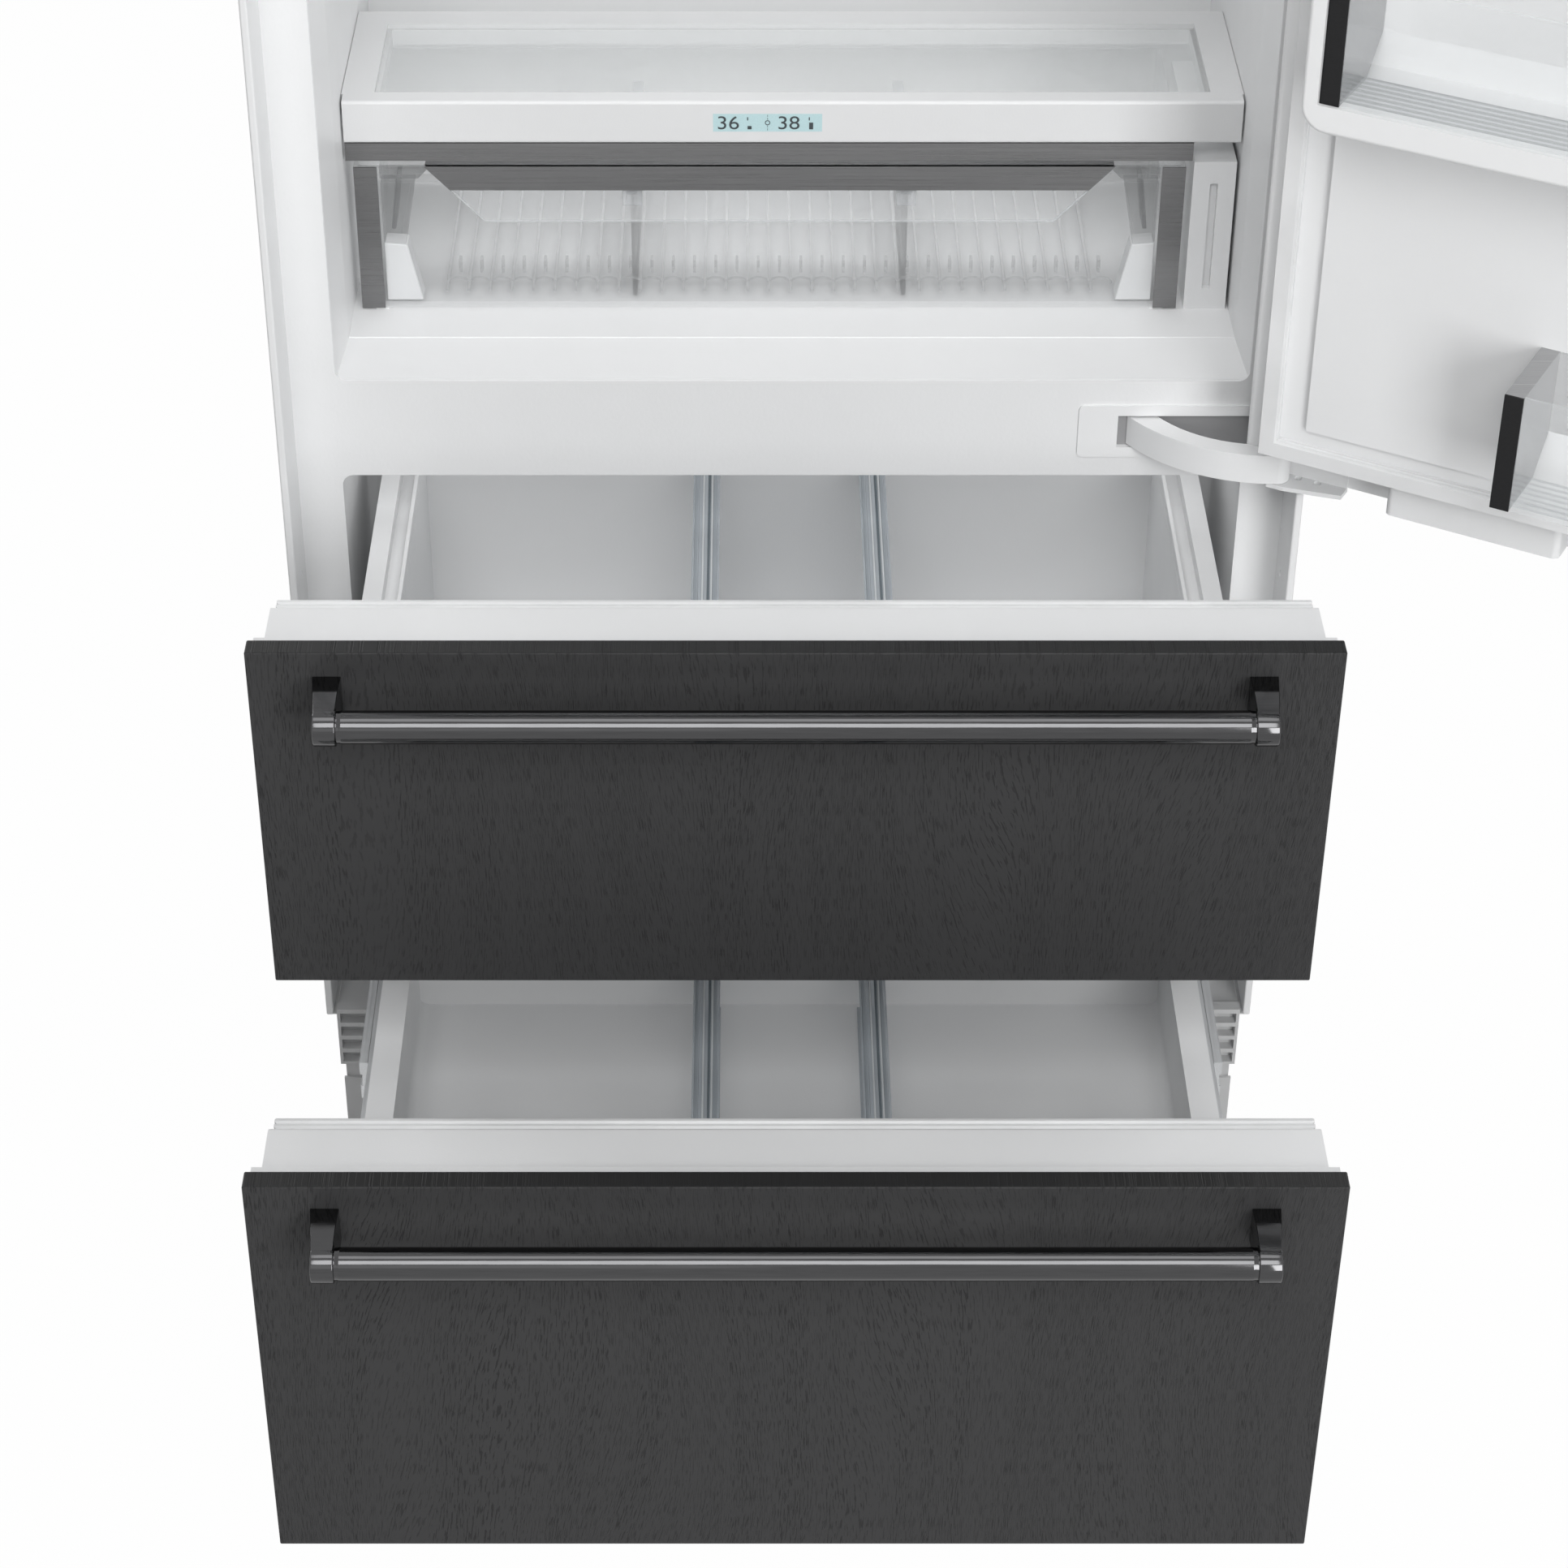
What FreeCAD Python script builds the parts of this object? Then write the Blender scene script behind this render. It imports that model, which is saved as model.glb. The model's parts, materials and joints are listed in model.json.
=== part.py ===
"""Built-in refrigerator with a hinged door above two pull-out drawers.

Millimetres. X runs to the right, Y to the back and Z up. The origin lies on the floor, midway
between the four levelling feet. The front faces -Y. The pieces stand as they are used: the door
swung open and both drawers pulled out.
"""
import FreeCAD, Part
import math
import os
import re

import Sketcher

SIZES = {
    # carcass
    "opening_width": 808, "side_wall": 47, "cabinet_depth": 508, "sheet": 2, "side_bottom": 26,
    "body_bottom": 277, "face_thick": 3, "opening_corner": 10, "liner_thick": 3, "frame_drop": 4,
    # compartments, stacked from the foot up
    "floor_wall": 23, "lower_bay_height": 200, "drawer_partition": 52, "upper_bay_height": 297,
    "fridge_partition": 96, "fridge_height": 1115, "flare": 6, "flare_depth": 70, "top_wall": 74,
    "fridge_back_wall": 108, "drawer_back_wall": 58,
    # fronts
    "panel_overlap": 3, "panel_thick": 20, "panel_gap": 3, "panel_edge": 1.5, "panel_lap": 24,
    "toe_height": 102, "base_thick": 10, "base_inset": 4.5, "shell_depth": 56, "shell_inset": 12.5,
    "shell_edge": 5, "shell_wall": 5, "door_shell_drop": 54, "door_shell_head": 44, "seal_depth": 15.5,
    "seal_clear": 0.5, "seal_inset": 3.5, "seal_width": 15, "seal_step": 4, "lower_shell_drop": 13,
    # side flanges
    "flange_thick": 7, "flange_reach": 65, "flange_head_gap": 8, "flange_edge": 2,
    # drawers
    "upper_open": 224, "lower_open": 490, "box_back_gap": 41, "box_floor": 6, "box_wall": 34,
    "box_ledge": 17, "ledge_drop": 14, "box_corner": 9, "box_back": 14, "upper_box_lift": 20,
    "upper_box_height": 218, "lower_box_lift": 8, "lower_box_height": 94, "lower_box_wall": 25,
    "divider_thick": 4, "divider_offset": 78,
    "divider_headroom": 26, "divider_end_gap": 8, "divider_flange": 25, "divider_flange_thick": 3,
    "slide_thick": 7.6, "slide_height": 42, "slide_lift": 30, "slide_groove": 14,
    "slide_groove_depth": 2, "slide_clear": 0.4,
    # handles
    "handle_end_inset": 54.5, "bar_radius": 14, "bar_stand": 45, "handle_drop": 43, "post_width": 24,
    "post_rise": 20, "post_fall": 15, "post_shoulder": 27, "ferrule_radius": 16, "ferrule_length": 19,
    "door_handle_span": 924, "door_handle_inset": 62, "post_clear": 0.2, "pin_clear": 0.08,
    # hinge
    "door_open": 151, "pin_inset": 25.4, "pin_ahead": 57.5, "pin_radius": 4, "arm_height": 28,
    "arm_tip_radius": 12, "arm_outer_sag": 19.4, "arm_inner_sag": 14.1, "arm_neck_angle": 45,
    "arm_root": 26, "arm_lift": 5, "arm_head_gap": 8, "root_plate_thick": 6, "root_plate_width": 160,
    "root_plate_height": 46, "ear_thick": 4, "ear_clear": 0.5, "spine_thick": 2, "ear_length": 74,
    "ear_shoulder": 16, "ear_hole": 3.5, "ear_hole_gap": 18,
    "mask_width": 189, "mask_height": 52, "mask_thick": 2, "mask_corner": 5, "slot_margin": 2,
    "slot_reach": 135.6, "slot_end": 5.6, "pocket_depth": 70, "closer_length": 155,
    "closer_height": 37, "closer_depth": 46, "closer_start": 112, "closer_edge": 6,
    # door inside
    "door_seal_inset": 16.5, "dyke_gap": 18, "dyke_reach": 99, "dyke_wall": 14, "dyke_edge": 4,
    "dyke_corner": 22, "liner_rise": 6, "bin_ledge": 24, "bin_clear": 0.3, "bin_depth": 88,
    "bin_height": 104, "bin_wall": 3, "bin_heel": 30, "low_bin_lift": 46, "low_bin_gap": 178,
    "bin_lift": 361, "bin_pitch": 345, "bin_trim_width": 16, "bin_trim_thick": 1.5,
    # crisper
    "crisper_setback": 124, "crisper_side_gap": 8, "crisper_module_gap": 7, "crisper_height": 140,
    "crisper_back_gap": 22, "crisper_wall": 4, "crisper_lift": 1.5, "dip_side_gap": 63, "dip_slope": 52,
    "dip_depth": 54, "runner_width": 12, "runner_clear": 0.3, "crisper_divider_offset": 122.5,
    "crisper_divider_height": 104, "crisper_divider_gap": 12, "trim_width": 21, "trim_thick": 1.5,
    "strip_height": 17, "strip_thick": 10, "strip_end_gap": 43, "strip_gap": 0.5, "pull_height": 23,
    # deck over the crisper
    "deck_rise": 212, "deck_front": 136, "deck_clear": 0.5, "deck_thick": 18, "deck_back_gap": 86,
    "deck_window_lead": 8, "deck_window_tail": 32, "deck_window_side": 33, "glass_thick": 4,
    "glass_lap": 8, "fascia_height": 40, "fascia_clear": 2, "fascia_thick": 16, "fascia_edge": 3,
    "display_width": 96, "display_height": 17, "display_thick": 2, "display_shift": -22,
    # side module
    "module_width": 38, "module_gap": 3, "module_height": 146, "module_back_gap": 62,
    "module_slot_width": 7, "module_slot_height": 104, "module_slot_depth": 6,
    # shelves
    "shelf_rise": 485, "shelf_pitch": 300, "shelf_clear": 6, "shelf_front": 150, "shelf_frame": 22,
    "shelf_thick": 16, "track_width": 22, "track_thick": 8, "track_offset": 250, "track_rise": 285,
    "track_head_gap": 60, "track_slot_width": 6, "track_slot_height": 16, "track_slot_pitch": 70,
    "evaporator_width": 560, "evaporator_height": 640, "evaporator_rise": 295, "evaporator_thick": 8,
    # machine compartment
    "tray_thick": 3, "tray_lip": 40, "tray_back_gap": 4, "foot_radius": 22, "foot_height": 10,
    "stud_radius": 6, "stud_rise": 14, "foot_inset": 51, "foot_setback": 39, "stud_clear": 0.5,
    "louvre_inset": 10, "louvre_height": 63, "louvre_thick": 12, "louvre_return": 20, "louvre_roof": 4,
    "louvre_rise": 6, "louvre_count": 4, "louvre_columns": 3, "louvre_pitch": 16.4, "louvre_gap": 11.6,
    "louvre_margin": 3, "toe_notch": 100, "kick_inset": 12,
    "kick_gap": 20, "kick_bottom": 14, "kick_thick": 3, "kick_setback": 3, "kick_tab_height": 20,
    "kick_tab_length": 34, "compressor_x": 240, "compressor_radius": 78, "compressor_height": 175,
    "compressor_base": 210, "compressor_foot_height": 16, "condenser_x": -245, "condenser_width": 250,
    "condenser_depth": 120, "condenser_height": 150, "fin_count": 12, "fin_thick": 1,
    "coil_radius": 5, "coil_rows": 4, "coil_columns": 3, "fan_x": -30, "fan_radius": 62, "fan_hub": 20,
    "fan_depth": 18, "fan_blades": 5, "fan_clear": 5, "fan_gap": 2, "fan_twist": 32, "blade_chord": 27,
    "blade_thick": 2, "shroud_wall": 5, "shroud_depth": 34, "motor_radius": 17, "motor_length": 26,
    "shaft_radius": 3, "machine_y": 60,
    # screws through the carcass
    "screw_radius": 3, "flange_screw_lift": 143, "flange_screw_pitch": 340, "flange_screw_back": 24,
    "tip_screw_x": 300, "tip_screw_y": 120,
}

# Sizes that follow from the ones above, so that what fits together stays together.
FITS = {
    "cabinet_width": "opening_width + 2 * side_wall",
    "frame_width": "cabinet_width - 2 * flange_thick",
    "panel_width": "cabinet_width + 2 * panel_overlap",
    "lower_floor": "body_bottom + floor_wall",
    "lower_ceiling": "lower_floor + lower_bay_height",
    "upper_floor": "lower_ceiling + drawer_partition",
    "upper_ceiling": "upper_floor + upper_bay_height",
    "fridge_floor": "upper_ceiling + fridge_partition",
    "fridge_ceiling": "fridge_floor + fridge_height",
    "room_floor": "fridge_floor + flare",
    "room_half": "opening_width / 2 - flare",
    "cabinet_top": "fridge_ceiling + top_wall",
    "frame_top": "cabinet_top - frame_drop",
    "fridge_depth": "cabinet_depth - fridge_back_wall",
    "drawer_bay_depth": "cabinet_depth - drawer_back_wall",
    "upper_panel_bottom": "upper_floor - panel_lap",
    "upper_panel_height": "upper_bay_height + 2 * panel_lap",
    "lower_panel_height": "upper_panel_bottom - panel_gap - toe_height",
    "door_panel_bottom": "upper_ceiling + panel_lap + panel_gap",
    "door_panel_height": "frame_top - door_panel_bottom",
    "flange_stop": "door_panel_bottom - flange_head_gap",
    "box_width": "opening_width - 6 * (slide_thick + slide_clear)",
    "box_depth": "drawer_bay_depth + seal_clear + seal_depth - box_back_gap",
    "upper_box_bottom": "upper_floor + upper_box_lift",
    "lower_box_bottom": "lower_floor + lower_box_lift",
    "handle_reach": "panel_width / 2 - handle_end_inset",
    "door_handle_reach": "door_handle_span / 2",
    "pin_x": "cabinet_width / 2 - pin_inset",
    "slot_left": "pin_x - slot_reach",
    "slot_right": "pin_x - slot_end",
    "lower_arm_bottom": "door_panel_bottom + arm_lift",
    "upper_arm_bottom": "frame_top - arm_head_gap - arm_height",
    "low_bin_base": "fridge_floor + low_bin_lift",
    "bin_base": "fridge_floor + bin_lift",
    "module_right": "room_half - module_gap",
    "module_left": "module_right - module_width",
    "module_depth": "fridge_depth - crisper_setback - module_back_gap",
    "crisper_left": "room_half - crisper_side_gap",
    "crisper_right": "module_left - crisper_module_gap",
    "crisper_depth": "fridge_depth - crisper_setback - crisper_back_gap",
    "dip_top": "crisper_left + crisper_right - 2 * dip_side_gap",
    "dip_bottom": "dip_top - 2 * dip_slope",
    "deck_top": "fridge_floor + deck_rise",
    "deck_width": "2 * (room_half - deck_clear)",
    "deck_end": "fridge_depth - deck_back_gap",
    "deck_window_front": "deck_front + deck_window_lead",
    "deck_window_back": "deck_end - deck_window_tail",
    "fascia_width": "2 * (room_half - fascia_clear)",
    "strip_right": "room_half - strip_end_gap",
    "shelf_base": "fridge_floor + shelf_rise",
    "shelf_width": "2 * (room_half - shelf_clear)",
    "track_bottom": "fridge_floor + track_rise",
    "track_top": "fridge_ceiling - track_head_gap",
    "evaporator_base": "fridge_floor + evaporator_rise",
    "foot_x": "cabinet_width / 2 - foot_inset",
    "foot_y": "cabinet_depth / 2 - foot_setback",
    "louvre_width": "cabinet_width - 2 * louvre_inset",
    "louvre_bottom": "body_bottom - louvre_height",
    "kick_width": "cabinet_width - 2 * kick_inset",
    "kick_top": "louvre_bottom - kick_gap",
    "flange_screw_low": "body_bottom + flange_screw_lift",
}

doc = FreeCAD.newDocument("refrigerator")
sheet = doc.addObject("Spreadsheet::Sheet", "Sizes")
rows = [(alias, str(value)) for alias, value in SIZES.items()]
rows += [(alias, "=" + text) for alias, text in FITS.items()]
for row, (alias, text) in enumerate(rows, start=1):
    sheet.setAlias(f"B{row}", alias)
    sheet.set(f"A{row}", alias)
    sheet.set(f"B{row}", text)
doc.recompute()

FACE = "(-cabinet_depth / 2)"
PANEL_BACK = "(seal_clear + seal_depth + shell_depth + base_thick)"
MACHINE_FLOOR = "(side_bottom + tray_thick)"
TOUCH = 0.01  # how close an edge lies to the plane that picks it

names = {alias for alias, text in rows}
nodes = []


def formula(text):
    """Return an expression whose size names point at the sheet."""
    return re.sub(r"[a-z_]{2,}", lambda m: f"Sizes.{m[0]}" if m[0] in names else m[0], str(text))


def read(text):
    """Return the present value of an expression of sizes, for shapes made directly."""
    total = re.sub(r"[a-z_]{2,}", lambda m: repr(float(getattr(sheet, m[0]))), text)
    return float(FreeCAD.Units.Quantity(total).Value)


def bind(obj, **properties):
    """Bind properties such as Length or Placement.Base.x (written Base_x) to expressions."""
    for name, text in properties.items():
        if name.startswith("Base"):
            path = "Placement." + name.replace("_", ".")
        else:
            path = name.replace("_two_", "2")
        obj.setExpression(path, formula(text))
    return obj


def block(x, y, z, length, width, height):
    """A box from its low corner and its three lengths."""
    obj = doc.addObject("Part::Box", "block")
    return bind(obj, Base_x=x, Base_y=y, Base_z=z, Length=length, Width=width, Height=height)


def middle_block(x, y, z, length, width, height):
    """A box whose X is given at its middle."""
    return block(f"{x} - ({length}) / 2", y, z, length, width, height)


def rod(x, y, z, radius, length, along="z"):
    """A cylinder from the centre of its low end, along x, y or z."""
    obj = doc.addObject("Part::Cylinder", "rod")
    turn = {"x": ((0, 1, 0), 90), "y": ((1, 0, 0), -90), "z": ((0, 0, 1), 0)}[along]
    axis, angle = turn
    obj.Placement.Rotation = FreeCAD.Rotation(FreeCAD.Vector(*axis), angle)
    return bind(obj, Base_x=x, Base_y=y, Base_z=z, Radius=radius, Height=length)


def join(*pieces):
    """Fuse pieces into one."""
    if len(pieces) == 1:
        return pieces[0]
    obj = doc.addObject("Part::MultiFuse", "join")
    obj.Shapes = list(pieces)
    obj.Refine = True
    return obj


def cut(base, *tools):
    """Take the tools away from the base."""
    obj = doc.addObject("Part::Cut", "cut")
    obj.Base = base
    obj.Tool = join(*tools)
    obj.Refine = True
    return obj


def group(*pieces):
    """Keep several separate solids together as one item."""
    obj = doc.addObject("Part::Compound", "group")
    obj.Links = list(pieces)
    return obj


def along(axis, where=lambda box: True):
    """Pick the straight edges that run along an axis and whose boxes pass a test."""
    index = "XYZ".index(axis)

    def pick(edge):
        box = edge.BoundBox
        spans = (box.XLength, box.YLength, box.ZLength)
        others = max(span for i, span in enumerate(spans) if i != index)
        return spans[index] > TOUCH and others < TOUCH and where(box)

    return pick


def soften(base, size_name, *picks):
    """Round the picked edges of a piece by a size from the sheet."""
    doc.recompute()
    radius = getattr(sheet, size_name)
    obj = doc.addObject("Part::Fillet", "soften")
    obj.Base = base
    chosen = [i for i, edge in enumerate(base.Shape.Edges, 1) if any(p(edge) for p in picks)]
    obj.Edges = [(i, radius, radius) for i in chosen]
    return obj


def node(label, piece):
    """Name a finished piece, in its place, as a sub-part."""
    piece.Label = label
    nodes.append(piece)
    return piece


def slid(label, piece, distance):
    """Name a piece that was made closed and is pulled forward by a distance."""
    bind(piece, Base_y=f"-({distance})")
    return node(label, piece)


def hung(label, piece):
    """Name a door piece that was made round the hinge pin and is swung open on it."""
    bind(piece, Base_x="pin_x", Base_y=f"{FACE} - pin_ahead")
    piece.setExpression("Placement.Rotation.Angle", formula("door_open"))
    return node(label, piece)


def outline_pad(points, depth, plane="XZ_Plane"):
    """A body padded from a polygon sketch whose corners are bound to expressions."""
    body = doc.addObject("PartDesign::Body", "body")
    sketch = body.newObject("Sketcher::SketchObject", "outline")
    support = [item for item in body.Origin.OriginFeatures if item.Role == plane][0]
    sketch.AttachmentSupport = [(support, "")]
    sketch.MapMode = "FlatFace"
    spots = [FreeCAD.Vector(read(x), read(y), 0) for x, y in points]
    count = len(spots)
    for i in range(count):
        sketch.addGeometry(Part.LineSegment(spots[i], spots[(i + 1) % count]))
    for i in range(count):
        sketch.addConstraint(Sketcher.Constraint("Coincident", i, 2, (i + 1) % count, 1))
    for i, (x, y) in enumerate(points):
        for kind, text, value in (("DistanceX", x, spots[i].x), ("DistanceY", y, spots[i].y)):
            number = sketch.addConstraint(Sketcher.Constraint(kind, -1, 1, i, 1, value))
            sketch.setExpression(f"Constraints[{number}]", formula(text))
    pad = body.newObject("PartDesign::Pad", "pad")
    pad.Profile = sketch
    bind(pad, Length=depth)
    return body


def carcass():
    """Outer sheets, insulation, liners, face frame and side flanges."""
    half, depth = "cabinet_width / 2", "cabinet_depth"
    inside = "cabinet_width - 2 * sheet"
    side = ("sheet", depth, "cabinet_top - side_bottom")
    sides = []
    for x in (f"-{half}", f"{half} - sheet"):
        toe = block(x, FACE, "side_bottom", "sheet", "toe_notch", "body_bottom - side_bottom")
        sides.append(cut(block(x, FACE, "side_bottom", *side), toe))
    tip_holes = [rod(x, "tip_screw_y", "cabinet_top - 2 * sheet", "screw_radius", "3 * sheet")
                 for x in ("-tip_screw_x", "tip_screw_x")]
    lid = middle_block("0", FACE, "cabinet_top - sheet", inside, depth, "sheet")
    node("outer_wrap", group(*sides, cut(lid, *tip_holes)))
    back_height = "cabinet_top - sheet - body_bottom"
    node("back_panel", middle_block("0", "cabinet_depth / 2 - sheet", "body_bottom", inside, "sheet",
                                    back_height))

    def bay(floor, ceiling, extra, deep):
        wide = f"opening_width + 2 * ({extra})"
        return middle_block("0", FACE, f"{floor} - ({extra})", wide, f"{deep} + ({extra})",
                            f"{ceiling} - {floor} + 2 * ({extra})")

    bays = (("fridge_floor", "fridge_ceiling", "fridge_depth"),
            ("upper_floor", "upper_ceiling", "drawer_bay_depth"),
            ("lower_floor", "lower_ceiling", "drawer_bay_depth"))
    foam_front = f"{FACE} + face_thick"
    foam = middle_block("0", foam_front, "body_bottom", inside, "cabinet_depth - face_thick - sheet",
                        back_height)
    pockets = [block("pin_x - root_plate_width", FACE, f"{bottom} - (root_plate_height - arm_height) / 2",
                     "root_plate_width", "pocket_depth", "root_plate_height")
               for bottom in ("lower_arm_bottom", "upper_arm_bottom")]
    cold_plate = ("0", f"{FACE} + fridge_depth + liner_thick", "evaporator_base", "evaporator_width",
                  "evaporator_thick", "evaporator_height")
    node("evaporator", middle_block(*cold_plate))
    cavities = [bay(f, c, "liner_thick", d) for f, c, d in bays]
    node("insulation", cut(foam, *cavities, *pockets, middle_block(*cold_plate)))

    def rounded_bay(floor, ceiling, deep):
        return soften(bay(floor, ceiling, "0", deep), "opening_corner", along("Y"))

    mouth = doc.addObject("Part::Wedge", "mouth")
    bind(mouth, Xmin="-opening_width / 2", Xmax="opening_width / 2", Ymin=FACE, Ymax=f"{FACE} + flare_depth",
         Zmin="fridge_floor", Zmax="fridge_ceiling", X_two_min="-opening_width / 2 + flare",
         X_two_max="opening_width / 2 - flare", Z_two_min="fridge_floor + flare",
         Z_two_max="fridge_ceiling - flare")
    throat = middle_block("0", FACE, "fridge_floor + flare", "opening_width - 2 * flare", "fridge_depth",
                          "fridge_height - 2 * flare")
    hollows = [join(mouth, throat)] + [rounded_bay(*b) for b in bays[1:]]
    liners = [cut(bay(f, c, "liner_thick", d), hollow) for (f, c, d), hollow in zip(bays, hollows)]
    front_trim = middle_block("0", FACE, "body_bottom", inside, "face_thick", back_height)
    shells = [cut(liner, front_trim) for liner in liners]
    runners = [block(x, f"{FACE} + crisper_setback", "room_floor", "runner_width", "crisper_depth",
                     "crisper_lift - runner_clear")
               for x in ("-crisper_left + runner_width", "crisper_right - 2 * runner_width")]
    node("fridge_liner", join(shells[0], *runners))
    node("drawer_liners", group(*shells[1:]))

    frame = middle_block("0", FACE, "body_bottom", "frame_width", "face_thick", "frame_top - body_bottom")
    slots = [block("slot_left", FACE, f"{bottom} - slot_margin", "slot_right - slot_left", "face_thick",
                   "arm_height + 2 * slot_margin")
             for bottom in ("lower_arm_bottom", "upper_arm_bottom")]
    node("face_frame", cut(frame, *[rounded_bay(*b) for b in bays], *slots))

    def flange(x, top):
        height = f"{top} - body_bottom"
        strip = block(x, f"{FACE} - flange_reach", "body_bottom", "flange_thick", "flange_reach", height)
        front = read(f"{FACE} - flange_reach")
        return soften(strip, "flange_edge", along("Z", lambda b: b.YMin < front + TOUCH))

    left = flange(f"-{half}", "cabinet_top")
    right = flange(f"{half} - flange_thick", "flange_stop")
    holes = [rod(x, f"{FACE} - flange_screw_back", f"flange_screw_low + {i} * flange_screw_pitch",
                 "screw_radius", "flange_thick", "x")
             for x, count in ((f"-{half}", 2), (f"{half} - flange_thick", 2)) for i in range(count)]
    node("side_flanges", group(cut(left, *holes[:2]), cut(right, *holes[2:])))


def machine_compartment():
    """Base tray, feet, grille, kick plate, compressor, condenser and its fan."""
    inside = "cabinet_width - 2 * sheet"
    front = f"({FACE} - flange_reach + louvre_thick)"
    deep = "(cabinet_depth + flange_reach - louvre_thick - tray_back_gap)"
    floor = middle_block("0", front, "side_bottom", inside, deep, "tray_thick")
    lips = [block(x, front, "side_bottom", "tray_thick", deep, "tray_lip")
            for x in (f"-({inside}) / 2", f"({inside}) / 2 - tray_thick")]
    rear_lip = middle_block("0", f"{front} + {deep} - tray_thick", "side_bottom", inside, "tray_thick",
                            "tray_lip")
    spots = [(x, y) for x in ("-foot_x", "foot_x") for y in ("-foot_y", "foot_y")]
    bores = [rod(x, y, "side_bottom", "stud_radius + stud_clear", "tray_thick") for x, y in spots]
    node("base_tray", cut(join(floor, *lips, rear_lip), *bores))
    feet = []
    for x, y in spots:
        pad = rod(x, y, "0", "foot_radius", "foot_height")
        stud = rod(x, y, "0", "stud_radius", "side_bottom + stud_rise")
        nut = rod(x, y, "foot_height", "2 * stud_radius", "side_bottom - foot_height")
        feet.append(join(pad, stud, nut))
    node("levelling_feet", group(*feet))

    grille_y = f"({FACE} - flange_reach)"
    plate = middle_block("0", grille_y, "louvre_bottom", "louvre_width", "louvre_thick",
                         "body_bottom + louvre_rise - louvre_bottom")
    roof = middle_block("0", f"{grille_y} + louvre_thick", "body_bottom - louvre_roof", "louvre_width",
                        "flange_reach + louvre_return - louvre_thick", "louvre_roof")
    windows = []
    for row in range(int(sheet.louvre_count)):
        low = f"louvre_bottom + louvre_margin + {row} * louvre_pitch"
        for column in range(int(sheet.louvre_columns)):
            x = f"({column} + 1 / 2 - louvre_columns / 2) * louvre_width / louvre_columns"
            windows.append(middle_block(x, grille_y, low, "louvre_width / louvre_columns - 2 * louvre_margin",
                                        "louvre_thick", "louvre_gap"))
    node("louvre_panel", join(cut(plate, *windows), roof))
    apron = f"({grille_y} + kick_setback)"
    rail = middle_block("0", f"{apron} + kick_setback", "kick_top - kick_tab_height",
                        "kick_width - 4 * kick_setback", "louvre_thick - 2 * kick_setback",
                        "louvre_bottom - kick_top + kick_tab_height")
    skirt = middle_block("0", apron, "kick_bottom", "kick_width", "kick_thick", "kick_top - kick_bottom")
    tabs = [middle_block(x, apron, MACHINE_FLOOR, "foot_radius", "kick_tab_length", "kick_tab_height")
            for x in ("-foot_x + 3 * foot_radius", "foot_x - 3 * foot_radius")]
    node("kick_plate", join(rail, skirt, *tabs))

    shell = rod("compressor_x", "machine_y", f"{MACHINE_FLOOR} + compressor_foot_height",
                "compressor_radius", "compressor_height")
    dome = soften(shell, "compressor_foot_height", lambda edge: edge.Closed)
    foot = middle_block("compressor_x", "machine_y - compressor_base / 2", MACHINE_FLOOR, "compressor_base",
                        "compressor_base", "compressor_foot_height")
    node("compressor", join(dome, foot))

    left = "condenser_x - condenser_width / 2"
    coil_y = "machine_y - condenser_depth / 2"
    fins = [block(f"{left} + {i} * (condenser_width - fin_thick) / (fin_count - 1)", coil_y, MACHINE_FLOOR,
                  "fin_thick", "condenser_depth", "condenser_height")
            for i in range(int(sheet.fin_count))]
    tubes = [rod(left, f"{coil_y} + condenser_depth * {2 * c + 1} / (2 * coil_columns)",
                 f"{MACHINE_FLOOR} + condenser_height * {2 * r + 1} / (2 * coil_rows)", "coil_radius",
                 "condenser_width", "x")
             for r in range(int(sheet.coil_rows)) for c in range(int(sheet.coil_columns))]
    node("condenser", join(*fins, *tubes))

    centre_z = f"{MACHINE_FLOOR} + fan_radius + fan_clear + shroud_wall"
    side = "2 * (fan_radius + fan_clear + shroud_wall)"
    square = block("fan_x", f"machine_y - ({side}) / 2", MACHINE_FLOOR, "shroud_depth", side, side)
    hole = rod("fan_x", "machine_y", centre_z, "fan_radius + fan_clear", "shroud_depth", "x")
    motor = rod("fan_x + shroud_depth - motor_length / 2", "machine_y", centre_z, "motor_radius",
                "motor_length / 2", "x")
    struts = [block("fan_x + shroud_depth - shroud_wall", f"machine_y - {w} / 2", f"{centre_z} - {t} / 2",
                    "shroud_wall", w, t)
              for w, t in ((side, "2 * shroud_wall"), ("2 * shroud_wall", side))]
    ring = cut(square, hole)
    shaft = rod("fan_x + shroud_wall", "machine_y", centre_z, "shaft_radius",
                "shroud_depth - 2 * shroud_wall", "x")
    node("fan_shroud", join(ring, motor, *struts, shaft))
    node("fan_rotor", fan_rotor(centre_z))


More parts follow.
